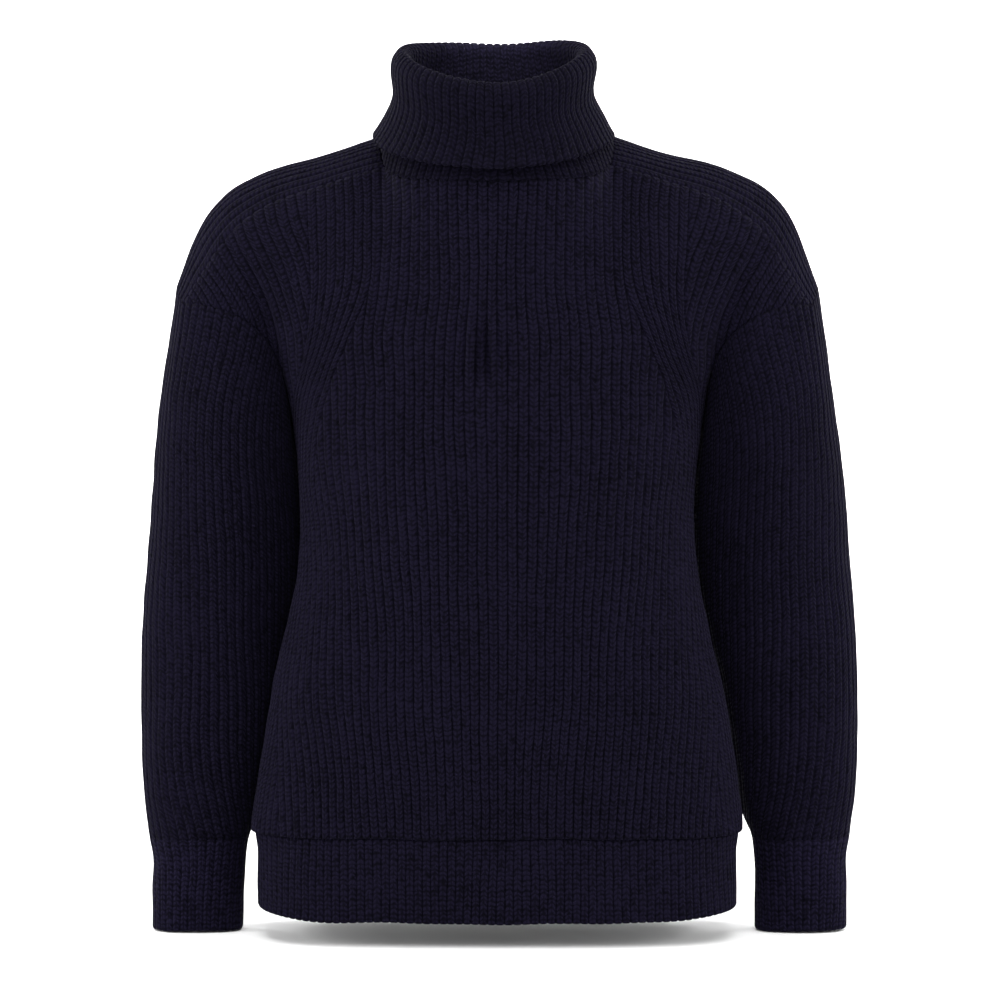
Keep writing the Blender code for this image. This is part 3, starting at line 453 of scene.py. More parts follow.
def armhole_line(side, shares):
    """The armhole seam at these shares from the armpit to the strap: a smooth curve."""
    points = xyz(ARMHOLE["x"], side * ARMHOLE["depth"], ARMHOLE["z"])
    knots, count = lengths(points), SAMPLES * 2
    line = smooth(np.linspace(0, knots[-1], count * 3), knots, points)
    return by_length(by_length(line, np.linspace(0, 1, count)), shares)


def armhole_normal(points):
    """Away from the middle of the upper arm, square to the arm."""
    middle = np.array([0.2130, 0.0, -0.1700])
    arm = unit(np.array([0.756, 0.0, -0.655]))
    away = points - middle
    return unit(away - (away @ arm)[..., None] * arm)


# --- surfaces
def body_row(z, side):
    """Half a level ring of the body, from the front or back centre to the side seam."""
    ring = read(BODY, z)
    depth = ring["front_depth" if side == FRONT else "back_depth"]
    squareness = ring["squareness"] * (1 if side == FRONT else BACK_ROUNDNESS)
    line = quarter_oval(ring["half_width"], depth, squareness, SAMPLES)
    return xyz(line[:, 0], side * line[:, 1], z)


def clear_of_body(points):
    """Points of a sleeve, moved out along x where they would lie inside the body's outline and a
    gap round it.  x turns from one to the other as the root of the square of their difference
    and a small square."""
    ring = read(BODY, np.clip(points[..., 2], HEM_SEAM_Z, ARMPIT_Z))
    behind = points[..., 1] > 0
    depth = np.where(behind, ring["back_depth"], ring["front_depth"])
    squareness = ring["squareness"] * np.where(behind, BACK_ROUNDNESS, 1)
    ahead = np.clip(np.abs(points[..., 1]) / depth, 0, 1)
    outline = ring["half_width"] * (1 - ahead**squareness) ** (1 / squareness) + SIDE_GAP
    x = points[..., 0]
    pushed = (x + outline + np.sqrt((x - outline) ** 2 + SIDE_TURN**2)) / 2
    return xyz(pushed, points[..., 1], points[..., 2])


def fold_depth(points):
    """How far the fold beside the armhole sinks the cloth: a bell curve across the fold line."""
    knots = np.arange(len(FOLD["z"]))
    x, z, depth = read(FOLD, np.linspace(0, knots[-1], 60), knots).values()
    away = np.hypot(np.abs(points[..., :1]) - x, points[..., 2:] - z)
    return (depth * bell(away, FOLD_HALF_WIDTH)).max(axis=-1)


def top_edge(side):
    """Upper edge of a body panel: the neckline from its centre, then the strap seam."""
    start, neck_end = (0, STRAP_FROM) if side == FRONT else (math.pi, STRAP_TO)
    angle = np.linspace(start, neck_end, 60)
    seam = strap_lines(np.linspace(0, 1, 400))[0 if side == FRONT else 2]
    neck = neck_point(angle)
    neck[-1] = seam[0]
    line = np.vstack([neck, seam[1:]])
    return by_length(line, np.linspace(0, 1, SAMPLES))


def top_edge_directions(side, edge):
    """The way the ribs arrive at the upper edge, and the cloth's normal there.  Both turn from
    the neckline's to the strap's over a short stretch of x."""
    turn_from, turn_over, touching = 0.075, 0.06, 0.001
    shares = np.linspace(0, 1, 400)
    front, ridge, back = strap_lines(shares)
    seam = front if side == FRONT else back
    peak = 2 * ridge - (front + back) / 2
    nearest = np.argmin(np.linalg.norm(edge[:, None] - seam[None], axis=-1), axis=1)
    on_strap = strap_normal(np.full(400, 0.0 if side == FRONT else 1.0), shares)[nearest]
    angle = np.arctan2(edge[:, 0], -(edge[:, 1] - NECK_CENTRE_Y))
    neck_way = np.array([0, -side * 0.45, 0.90])
    share = np.clip((edge[:, 0] - turn_from) / turn_over, 0, 1)[:, None]
    is_seam = (np.linalg.norm(edge - seam[nearest], axis=1) < touching)[:, None]
    way = unit(neck_way * (1 - share) + unit(peak - seam)[nearest] * share)
    return way, np.where(is_seam, on_strap, neck_normal(angle))


def softened(line, spread):
    """A line with its corners rounded: a mean of the points round each one, weighted by a bell
    curve of this spread.  It goes on past both ends by reflection."""
    before = line[:0:-1] * MIRROR
    after = 2 * line[-1] - line[-2::-1]
    weights = bell(np.linspace(-1, 1, 2 * len(line) - 1), max(spread, 1e-4))
    weights /= weights.sum()
    whole = np.vstack([before, line, after])
    means = [np.convolve(whole[:, axis], weights, mode="valid") for axis in range(3)]
    return np.stack(means, axis=-1)


def body_surface(side, low_rows, high_rows):
    """Half of a body panel: level rings up to the armpit, then cubic columns that leave the last
    ring upwards, meet the upper edge and fit the armhole seam.  The corner where the neckline
    meets the strap fades down the columns."""
    low = np.stack([body_row(z, side) for z in low_rows])
    start = body_row(ARMPIT_Z, side)
    step = 0.004
    rise = unit(body_row(ARMPIT_Z + step, side) - body_row(ARMPIT_Z - step, side))
    end = top_edge(side)
    way, normal_top = top_edge_directions(side, end)
    reach = np.linalg.norm(end - start, axis=1)[:, None]
    armhole = armhole_line(side, high_rows)
    u = np.linspace(0, 1, SAMPLES)[:, None]
    rise = unit(rise * (1 - u**6) + unit(armhole[3] - armhole[0]) * u**6)
    t = high_rows[:, None, None]
    ends = np.stack([softened(end, CORNER_SPREAD * (1 - share**4)) for share in high_rows])
    high = cubic(start, ends, rise * reach, way * reach, t)
    high = high + (armhole - high[:, -1])[:, None] * u**5
    points = np.vstack([low, high])
    slightly_up = 0.02
    normals = grid_normals(points, points * [1, 1, 0] + [0, 0, slightly_up])
    fade = u**8
    seam_normals = armhole_normal(armhole)[:, None]
    normals[len(low) :] = unit(normals[len(low) :] * (1 - fade) + seam_normals * fade)
    normals[: len(low) + 1, -1] = [1, 0, 0]
    normals[:, 0, 0] = 0
    near_top = np.clip((np.linspace(0, 1, len(high)) - 0.9) / 0.1, 0, 1)[:, None, None]
    normals[len(low) :] = normals[len(low) :] * (1 - near_top) + normal_top * near_top
    return points - unit(normals) * fold_depth(points)[..., None], unit(normals)


def sleeve_points(z, side):
    """Half of the sleeve at a grid of heights, from its outer edge to its inner one.  Each column
    reads its own place between level sections, which are half ovals."""
    levels = np.linspace(SLEEVE["z"][0], SLEEVE["z"][-1], SLEEVE_LEVELS)
    shares = np.linspace(0, 1, SAMPLES)
    stack = []
    for level in levels:
        ring = read(SLEEVE, level)
        half = (ring["outer_x"] - ring["inner_x"]) / 2
        centre = (ring["outer_x"] + ring["inner_x"]) / 2
        quarter = quarter_oval(half, ring["half_depth"], ring["squareness"], SAMPLES * 2)
        line = by_length(np.vstack([quarter[::-1], (quarter * MIRROR)[1:]]), shares)
        stack.append(line * [1, side, 1] + [centre, ring["centre_y"], level])
    stack = np.stack(stack)
    at = np.clip((z - levels[0]) / (levels[1] - levels[0]), 0, SLEEVE_LEVELS - 1.001)
    low = np.floor(at).astype(int)
    share = (at - low)[..., None]
    columns = np.arange(SAMPLES)[None]
    points = stack[low, columns] * (1 - share) + stack[low + 1, columns] * share
    points[..., 2] = z
    return points


def armhole_ring(side):
    """Half of the ring that the sleeve is sewn to, from the strap's ridge to the armpit."""
    across = np.linspace(0.5, 0.0 if side == FRONT else 1.0, 60)
    over = strap_point(across, np.ones(60))
    down = armhole_line(side, np.linspace(1, 0, SAMPLES))
    return by_length(np.vstack([over, down[1:]]), np.linspace(0, 1, SAMPLES))


def sleeve_surface(side, rows):
    """Half of the sleeve: it leaves the armhole and settles into level sections, its hold on the
    armhole's shape fading as the square of the way down."""
    settle, clear_over, sewn_over = 0.42, 0.06, 0.05
    shares = np.linspace(0, 1, SAMPLES)
    top = armhole_ring(side) + (UNDERARM_GAP * shares**4)[:, None] * [1, 0, 0]
    t = rows[:, None]
    z = top[None, :, 2] + (CUFF_SEAM_Z - top[None, :, 2]) * t
    hold = np.clip(1 - t / settle, 0, 1)[..., None] ** 2
    points = sleeve_points(z, side) + (top - sleeve_points(top[None, :, 2], side)[0]) * hold
    clear = np.clip(rows / clear_over, 0, 1)[:, None, None]
    points = points + (clear_of_body(points) - points) * clear
    normals = round_normals(points)
    near_top = np.clip(1 - rows / sewn_over, 0, 1)[:, None, None]
    normals = normals * (1 - near_top) + armhole_normal(top) * near_top
    normals[:, [0, -1], 1] = 0
    return points, unit(normals)


def round_normals(points):
    """Outward normals of half of a tube, hinted by the way from the middle of each row."""
    centre = (points[:, :1] + points[:, -1:]) / 2
    return grid_normals(points, (points - centre) * [1, 1, 0])


def collar_rings(columns):
    """The collar's shown face, closed round the neck: its foot, which is the neckline rounded by
    a mean weighted by a bell curve, and a row for each ring of its table."""
    angle = np.linspace(0, 2 * math.pi, columns, endpoint=False)
    near = np.minimum(angle, 2 * math.pi - angle)
    base = neck_point(near)
    base[angle > math.pi, 0] *= -1
    weights = bell(near, COLLAR_BASE_SPREAD)
    weights = np.fft.rfft(weights / weights.sum())[:, None]
    base = np.fft.irfft(np.fft.rfft(base, axis=0) * weights, n=columns, axis=0)
    base = base - unit((base - [0, NECK_CENTRE_Y, 0]) * [1, 1, 0]) * COLLAR_BASE_INSET
    base[:, 2] -= COLLAR_BASE_DROP
    width, depth, shift, centre_y, mid, lean, dip = (v[:, None] for v in COLLAR.values())
    up = mid - lean * np.cos(angle) - dip * np.cos(2 * angle)
    rings = xyz(width * np.sin(angle) - shift, centre_y - depth * np.cos(angle), up)
    return np.vstack([base[None], rings])


# --- knitted walls
def rib_relief(number, depth=None):
    """1 on the crest of a rib, midway between two whole rib numbers, and 0 in the grooves: one
    less a power of what the sine leaves of one.  With a depth, the grooves are that share as
    deep."""
    relief = 1 - (1 - np.abs(np.sin(math.pi * number))) ** CREST_POWER
    return relief if depth is None else 1 - depth * (1 - relief)


def rib_numbers(ribs, rows, steps=STEPS):
    """The rib number at each column of an evenly ribbed grid."""
    return np.arange(ribs * steps + 1)[None] / steps + np.zeros((rows, 1))


def courses_along(points):
    """The number of the course at each point of a grid, from its first row."""
    return lengths(points) / COURSE


def knit_wall(name, outer, inner, ribs, ribs_to, courses, closed):
    """One closed wall.  The outer grid's rows run on through the inner grid's and back to the
    first.  A closed piece joins its last column to its first, and an open one has faces along
    its side edges.  A column's rib numbers may differ for the faces before it (ribs_to) and
    after it (ribs)."""
    rows, count = outer.shape[:2]
    inner_rows = len(inner)
    per = (rows - 1) // (inner_rows - 1)
    points = settled(np.vstack([outer, inner[::-1]]))
    picked = np.hstack([np.arange(rows), np.arange(rows)[::-per][:inner_rows]])
    ribs, ribs_to, courses = ribs[picked], ribs_to[picked], courses[picked]
    index = np.arange(points.shape[0] * count).reshape(-1, count)

    def corners(before, after):
        """Values at each face's corners, from the columns before and after it."""
        before = before if closed else before[:, :-1]
        after = np.roll(after, -1, axis=1) if closed else after[:, 1:]
        below = (np.roll(after, -1, axis=0), np.roll(before, -1, axis=0))
        return np.stack([before, after, *below], axis=-1)

    faces = corners(index, index).reshape(-1, 4).tolist()
    corner_u, corner_v = [corners(ribs, ribs_to).ravel()], [corners(courses, courses).ravel()]
    if not closed:
        step = np.arange(inner_rows - 1)
        for side_column in (0, count - 1):
            fine = index[(step * per)[:, None] + np.arange(per + 1), side_column]
            far = index[rows + inner_rows - 2 - step, side_column]
            near = index[rows + inner_rows - 1 - step, side_column]
            strip = np.hstack([fine, far[:, None], near[:, None]])
            strip = strip if side_column else strip[:, ::-1]
            faces += strip.tolist()
            corner_u.append(ribs.ravel()[strip].ravel())
            corner_v.append(courses.ravel()[strip].ravel())
    mesh = bpy.data.meshes.new(name)
    mesh.from_pydata(points.reshape(-1, 3).tolist(), [], faces)
    layer = mesh.uv_layers.new(name="knit")
    uv = np.stack([np.hstack(corner_u), np.hstack(corner_v)], axis=-1)
    layer.uv.foreach_set("vector", uv.astype(np.float32).ravel())
    return closed_and_outward(name, mesh)


def placed(name, data):
    """An object of this data, in the scene."""
    made = bpy.data.objects.new(name, data)
    bpy.context.scene.collection.objects.link(made)
    return made


def closed_and_outward(name, mesh):
    """The mesh as a smooth object, with columns that ran together merged and its faces outwards
    by the sign of the volume inside it."""
    work = bmesh.new()
    work.from_mesh(mesh)
    bmesh.ops.remove_doubles(work, verts=work.verts, dist=MERGE)
    if work.calc_volume(signed=True) < 0:
        bmesh.ops.reverse_faces(work, faces=work.faces)
    work.to_mesh(mesh)
    work.free()
    mesh.shade_smooth()
    return placed(name, mesh)


def both_halves(grid, mirror=MIRROR):
    """A half grid and its mirror image as one, from the wearer's right to the left."""
    return np.hstack([grid[:, :0:-1] * mirror, grid])


def skins(points, normals, at, relief):
    """Outer and inner grids of a wall: crests on the surface, grooves below it, and a plain inner
    skin with fewer rows."""
    face, way = along_rows(points, at), along_rows(normals, at)
    outer = face - way * (RIB_DEPTH * (1 - relief))[..., None]
    return outer, (face - way * WALL)[::INNER_STEP]


# --- pieces
def body_panel(name, side):
    """The front or the back, with its shaped band of ribs.  The ribs inside the band run into
    its inner edge, and those outside it start at its outer edge."""
    low = np.linspace(HEM_SEAM_Z, ARMPIT_Z, BODY_ROWS_LOW, endpoint=False)
    points, normals = body_surface(side, low, np.linspace(0, 1, BODY_ROWS_HIGH))
    share = points[:, :, 0] / points[:, -1:, 0]
    near_hem = np.clip(1 - (points[..., 2] - HEM_SEAM_Z) / HEM_REACH, 0, 1) ** 2
    points[..., 2] -= HEM_SEAM_SIDE_DIP * share**2 * near_hem

    heights = points[:, :1, 2]
    band = read(BAND, heights)
    across = np.abs(points[..., 0])
    places = np.arange(SAMPLES) + 0 * across
    band_in = between(band["inner_x"], across, places)
    band_out = between(band["outer_x"], across, places)
    outside = outer_numbers(points, band_out, band["outer_ribs"])
    met = along_rows(outside[..., None], band_out)[..., 0]

    inner_number = rib_numbers(INNER_RIBS_LOW, 1)
    inner_kept = np.minimum(inner_number, band["inner_ribs"])
    inner_share = inner_kept / band["inner_ribs"]
    even_in_x = between(band["inner_x"] * inner_share, across, places)
    rise = np.clip((heights - ARMPIT_Z) / EVEN_ABOVE_ARMPIT, 0, 1)
    inner_at = band_in * inner_share * (1 - rise) + even_in_x * rise
    band_kept = rib_numbers(BAND_RIBS, len(points))
    band_at = band_in + (band_out - band_in) * band_kept / BAND_RIBS
    first = math.floor(SIDE_SEAM_RIB - OUTER_RIBS_LOW)
    outer_number = np.arange(first * STEPS, FAN_RIBS * STEPS + 1)[None] / STEPS
    outer_kept = np.clip(outer_number, met, outside[:, -1:])
    outer_at = np.clip(between(outer_kept, outside, places), band_out, SAMPLES - 1)

    at = np.hstack([inner_at, band_at[:, 1:], outer_at[:, 1:]])
    inner_relief = np.where(inner_number < band["inner_ribs"], rib_relief(inner_kept), 0)
    outer_relief = np.where(outer_number == outer_kept, rib_relief(outer_kept), 0)
    relief = np.hstack([inner_relief, rib_relief(band_kept)[:, 1:], outer_relief[:, 1:]])
    relief[:, -1] = 0
    band_kept, outer_kept = BAND_START + band_kept, OUTER_START + outer_kept
    ribs = np.hstack([inner_kept[:, :-1], band_kept[:, :-1], outer_kept])
    ribs_to = np.hstack([inner_kept, band_kept[:, 1:], outer_kept[:, 1:]])
    outer, inner = skins(points, normals, at, relief)
    courses = both_halves(courses_along(outer), 1)
    ribs_all = np.hstack([-ribs_to[:, :0:-1], ribs])
    ribs_to_all = np.hstack([-ribs[:, ::-1], ribs_to[:, 1:]])
    outer, inner = both_halves(outer), both_halves(inner)
    return knit_wall(name, outer, inner, ribs_all, ribs_to_all, courses, closed=False)


def outer_numbers(points, band_out, outer_ribs):
    """The rib number at each point outside the band.  Below the armpit it rises evenly to the
    side seam's.  Above, it is the distance from the band's edge over the pitch, both as seen
    from the front, and the ribs that the band has met."""
    places = np.arange(SAMPLES)
    low = SIDE_SEAM_RIB - outer_ribs * (SAMPLES - 1 - places) / (SAMPLES - 1 - band_out)
    z = points[..., 2]
    fan = read(FAN, z)
    edge = smooth(z, BAND["z"], BAND["outer_x"])
    high = (np.abs(points[..., 0]) - edge) / fan["pitch"] + fan["met"]
    rise = eased((points[:, :1, 2] - ARMPIT_Z) / FAN_ABOVE_ARMPIT)
    return np.maximum.accumulate(low * (1 - rise) + high * rise, axis=1)


def eased(share):
    """A share from 0 to 1 that leaves both ends gently: 3 squares less 2 cubes of it."""
    share = np.clip(share, 0, 1)
    return share * share * (3 - 2 * share)


def tube(name, halves, hand, lip_rows):
    """A sleeve or cuff from its front and back halves, each a pair of skins with rib numbers
    that runs from the outer edge to the inner one."""
    joined = lambda first, second: np.hstack([first[:, :0:-1], second[:, :-1]])
    (front, front_in, ribs_front), (back, back_in, ribs_back) = halves
    outer = hung(joined(front, back) * [hand, 1, 1], hand)
    inner = hung(joined(front_in, back_in) * [hand, 1, 1], hand)
    ribs = joined(-ribs_front, ribs_back)
    ribs_to = np.hstack([ribs_back[:, -1:], ribs[:, 1:]])
    return closed_tube(name, outer, inner, ribs, courses_along(outer), lip_rows, ribs_to)


def closed_tube(name, outer, inner, ribs, courses, lip_rows, ribs_to=None):
    """A closed wall.  Its lip turns round the loose edge in a half circle, from the outer skin
    to the inner one.  Even ribs start at 0 and need no ribs_to."""
    if ribs_to is None:
        ribs_to = np.where(ribs == 0, ribs[0, -1] + ribs[0, 1], ribs)
    last, edge = outer[-1], inner[-1]
    middle, arm = (last + edge) / 2, (last - edge) / 2
    radius = np.linalg.norm(arm, axis=-1, keepdims=True)
    angle = np.linspace(0, math.pi, lip_rows + 2)[1:-1, None, None]
    lip = middle + arm * np.cos(angle) + unit(last - outer[-2]) * radius * np.sin(angle)
    more = courses[-1:] + np.linspace(0, LIP_COURSES, lip_rows + 1)[1:, None]
    longer = lambda grid: np.vstack([grid, np.repeat(grid[-1:], lip_rows, axis=0)])
    outer, courses = np.vstack([outer, lip]), np.vstack([courses, more])
    return knit_wall(name, outer, inner, longer(ribs), longer(ribs_to), courses, closed=True)


def hung(grid, hand):
    """The left sleeve and cuff moved outwards, more so lower down."""
    if hand < 0:
        return grid
    out = LEFT_SLEEVE_SWING * eased((SWING_FROM - grid[..., 2]) / SWING_OVER)
    return grid + out[..., None] * [1, 0, 0]


def sleeve(name, hand):
    """A sleeve from the armhole to the cuff, with its seam under the arm."""
    halves = []
    for side in (FRONT, BACK):
        points, normals = sleeve_surface(side, np.linspace(0, 1, SLEEVE_ROWS))
        last = lengths(points.swapaxes(0, 1))[-1][:, None] / SLEEVE_RIB_PITCH
        number = rib_numbers(int(math.ceil(last.max() / 2) * 2), 1)
        kept = np.minimum(number, last)
        relief = 1 - SLEEVE_RELIEF * (1 - np.where(number < last, rib_relief(kept), 0))
        outer, inner = skins(points, normals, kept / last * (SAMPLES - 1), relief)
        halves.append((outer, inner, kept))
    return tube(name, halves, hand, lip_rows=0)


def cuff(name, hand):
    """The rib at the wrist, a short tube with a soft rounded edge."""
    drop = CUFF_BOTTOM_Z + WALL / 2 - CUFF_SEAM_Z
    rows = CUFF_SEAM_Z + drop * np.linspace(0, 1, TRIM_ROWS)
    number = rib_numbers(CUFF_RIBS, TRIM_ROWS)
    at, relief = number / CUFF_RIBS * (SAMPLES - 1), rib_relief(number, CUFF_RELIEF)
    halves = []
    for side in (FRONT, BACK):
        points = sleeve_points(rows[:, None] + np.zeros((1, SAMPLES)), side)
        normals = round_normals(points)
        normals[:, [0, -1], 1] = 0
        halves.append((*skins(points, unit(normals), at, relief), number))
    return tube(name, halves, hand, TRIM_LIP_ROWS)


def hem(name):
    """The hem rib, all round, drawn in under the body, with a soft rounded edge."""
    down = np.linspace(0, 1, TRIM_ROWS)[:, None]
    z = HEM_SEAM_Z + (HEM_BOTTOM_Z + WALL / 2 - HEM_SEAM_Z) * down
    drawn_in = HEM_INSET_TOP + (HEM_INSET_FOOT - HEM_INSET_TOP) * down
    number = rib_numbers(HEM_RIBS, TRIM_ROWS)
    at, relief = number / HEM_RIBS * (SAMPLES - 1), rib_relief(number, HEM_RELIEF)
    halves = []
    for side in (FRONT, BACK):
        rings = np.stack([body_row(max(level, BODY["z"][0]), side) for level in z[:, 0]])
        share = rings[..., 0] / rings[:, -1:, 0]
        scale = 1 - drawn_in[..., None] / rings[:, -1:, :1]
        sag = HEM_SEAM_SIDE_DIP * share**2 * (1 - down) - HEM_BOTTOM_SIDE_RISE * share**8 * down
        points = rings * scale
        points[..., 2] = z - sag
        normals = grid_normals(points, points * [1, 1, 0])
        normals[:, 0, 0] = 0
        normals[:, -1] = [1, 0, 0]
        normals[:, :, 2] = 0
        halves.append(skins(points, unit(normals), at, relief))
    grids = []
    for front, back in zip(*halves):
        half = np.hstack([front, back[:, ::-1][:, 1:]])
        grids.append(np.hstack([half, half[:, ::-1][:, 1:-1] * MIRROR]))
    outer, inner = grids
    number = rib_numbers(4 * HEM_RIBS, TRIM_ROWS)[:, :-1]
    return closed_tube(name, outer, inner, number, courses_along(outer), TRIM_LIP_ROWS)


def saddle(name, hand):
    """The strap over the shoulder, its ribs running from the neck to the sleeve."""
    share = np.linspace(0, 1, STRAP_ROWS)[:, None] + np.zeros((1, SAMPLES))
    across = np.linspace(0, 1, SAMPLES)[None] + np.zeros((STRAP_ROWS, 1))
    points, normals = strap_point(across, share), strap_normal(across, share)
    normals[0] = neck_normal(np.arctan2(points[0, :, 0], -(points[0, :, 1] - NECK_CENTRE_Y)))
    normals[-1] = armhole_normal(points[-1])
    number = rib_numbers(SADDLE_RIBS, STRAP_ROWS)
    at = number / SADDLE_RIBS * (SAMPLES - 1)
    outer, inner = (skin * [hand, 1, 1] for skin in skins(points, normals, at, rib_relief(number)))
    return knit_wall(name, outer, inner, number, number, courses_along(outer), closed=False)


def collar(name):
    """The roll collar: a tube turned down over itself, the cloth's hidden face inside the fold."""
    rings = collar_rings(COLLAR_RIBS * COLLAR_STEPS)
    knots = lengths(rings).mean(axis=1)
    points = smooth(np.linspace(0, knots[-1], COLLAR_ROWS), knots, rings)
    round_neck = (np.roll(points, -1, axis=1) - np.roll(points, 1, axis=1)) / 2
    normals = unit(np.cross(np.gradient(points, axis=0), round_neck))
    number = rib_numbers(COLLAR_RIBS, COLLAR_ROWS, COLLAR_STEPS)[:, :-1]
    lip = np.linspace(0, 1, COLLAR_ROWS)[:, None, None] ** LIP_SHARPNESS
    points = points + normals * LIP_FLARE * lip
    groove = (1 - rib_relief(number))[..., None]
    outer = points - normals * COLLAR_RELIEF * RIB_DEPTH * groove
    inner = (points - normals * (WALL - HIDDEN_DEPTH * groove))[::HIDDEN_STEP]
    return closed_tube(name, outer, inner, number, courses_along(points), COLLAR_LIP_ROWS)


# --- wool
def link(tree, a, b):
    """Joins an output socket to an input socket."""
    tree.links.new(a, b)


def maths(tree, operation, *values, clamp=False):
    """A Math node on sockets or numbers, and its output."""
    node = tree.nodes.new("ShaderNodeMath")
    node.operation = operation
    node.use_clamp = clamp
    for socket, value in zip(node.inputs, values):
        if isinstance(value, (int, float)):
            socket.default_value = value
        else:
            link(tree, value, socket)
    return node.outputs[0]


def noise(tree, vector, scale, detail):
    """A fine noise through space, and its output between 0 and 1."""
    node = tree.nodes.new("ShaderNodeTexNoise")
    node.inputs["Scale"].default_value = scale
    node.inputs["Detail"].default_value = detail
    link(tree, vector, node.inputs["Vector"])
    return node.outputs["Fac"]


# Each noise of the wool through space, as its scale and detail.
UNEVEN, LUMPS, FIBRES, PATCHES = (95, 2), (240, 1), (1100, 3), (24, 4)
DRIFT = 1.6  # how many courses the unevenness moves a stitch
LEG_SLOPE = 1.1  # how many courses the legs slope over the width of a rib
GROOVE_AT, GROOVE_WANDER = 0.47, 0.22  # the groove's edge, in ribs from the middle of one
GROOVE_SHARPNESS = 8.0
# What the tone takes of each, as a factor and what is added to it.  The yarn's term is partly
# painted shade: it darkens the gaps between the stitches.
YARN_AND_PAINTED_SHADE_TONE, FIBRE_TONE, PATCH_TONE, LUMP_TONE = (1.35, 0.26), (2.0, 0.0), (1.2, 0.4), (2.8, -0.4)
YARN_HEIGHT, FIBRE_HEIGHT = 0.7, 0.45


def stitch_group():
    """Node group of a knitted surface, from a UV map that counts ribs in u and courses in v.
    Each rib is a column of stitches with two legs that slope down to its middle: the yarn is
    the product of a sine along the slope and a sine over each half rib, and noise makes every
    stitch sit a little differently.  Height is how high the yarn and its fibres stand.  Tone is
    how light the wool's colour is: light on the yarn and darker in the gaps between stitches,
    partly painted shade, darker again in the grooves by the share Shade, which is painted shade,
    with fuzz, lumps of a stitch's size and patches of a hand's."""
    tree = bpy.data.node_groups.new("rib_stitches", "ShaderNodeTree")
    for name, kind in (("UV", "Vector"), ("Place", "Vector"), ("Shade", "Float")):
        tree.interface.new_socket(name, in_out="INPUT", socket_type="NodeSocket" + kind)
    for name in ("Height", "Tone"):
        tree.interface.new_socket(name, in_out="OUTPUT", socket_type="NodeSocketFloat")
    into = tree.nodes.new("NodeGroupInput")
    out = tree.nodes.new("NodeGroupOutput")
    split = tree.nodes.new("ShaderNodeSeparateXYZ")
    link(tree, into.outputs["UV"], split.inputs[0])
    uneven, lumps, fibres, patches = (
        noise(tree, into.outputs["Place"], *kind) for kind in (UNEVEN, LUMPS, FIBRES, PATCHES)
    )
    do = partial(maths, tree)

    away = do("ABSOLUTE", do("SUBTRACT", do("FRACT", split.outputs[0]), 0.5))
    moved = do("ADD", split.outputs[1], do("MULTIPLY", uneven, DRIFT))
    phase = do("SUBTRACT", moved, do("MULTIPLY", away, LEG_SLOPE))
    wave = do("SINE", do("MULTIPLY", phase, 2 * math.pi))
    loops = do("MULTIPLY_ADD", wave, 0.5, 0.5)
    legs = do("SINE", do("MULTIPLY", away, 2 * math.pi))
    yarn = do("MULTIPLY", loops, legs)
    edge = do("ADD", GROOVE_AT, do("MULTIPLY_ADD", lumps, GROOVE_WANDER, -GROOVE_WANDER / 2))
    groove = do("MULTIPLY", do("SUBTRACT", edge, away), GROOVE_SHARPNESS, clamp=True)

    # Painted shade: the grooves between ribs are darkened by the share Shade.
    shaded = do("MULTIPLY", do("SUBTRACT", 1.0, groove), into.outputs["Shade"])
    tone = do("SUBTRACT", 1.0, shaded)
    terms = (yarn, YARN_AND_PAINTED_SHADE_TONE), (fibres, FIBRE_TONE), (patches, PATCH_TONE), (lumps, LUMP_TONE)
    # The yarn's term darkens the gaps between stitches, partly painted shade.
    for what, share in terms:
        tone = do("MULTIPLY", tone, do("MULTIPLY_ADD", what, *share))
    link(tree, tone, out.inputs["Tone"])
    height = do("MULTIPLY_ADD", yarn, YARN_HEIGHT, do("MULTIPLY", fibres, FIBRE_HEIGHT))
    link(tree, do("MULTIPLY", height, groove), out.inputs["Height"])
    return tree


DARK_AND_PAINTED_SHADE, LIGHT = (0.0004, 0.0003, 0.0012), (0.0057, 0.0046, 0.0131)  # the wool's colour at its deepest painted shade, and on the yarn
WOOL_FINISH = {
    "Roughness": 0.95, "Specular IOR Level": 0.04, "Sheen Weight": 0.02,
    "Sheen Roughness": 0.40, "Sheen Tint": (0.42, 0.38, 0.66, 1),
}
PAPER_FINISH = {"Roughness": 0.9, "Base Color": (0.9, 0.9, 0.9, 1)}
BUMP_STRENGTH = 0.7


def matt(name, finish):
    """A material and its shader, with these values on the shader's sockets."""
    material = bpy.data.materials.new(name)
    material.use_nodes = True
    shader = material.node_tree.nodes["Principled BSDF"]
    for socket, value in finish.items():
        shader.inputs[socket].default_value = value
    return material, shader


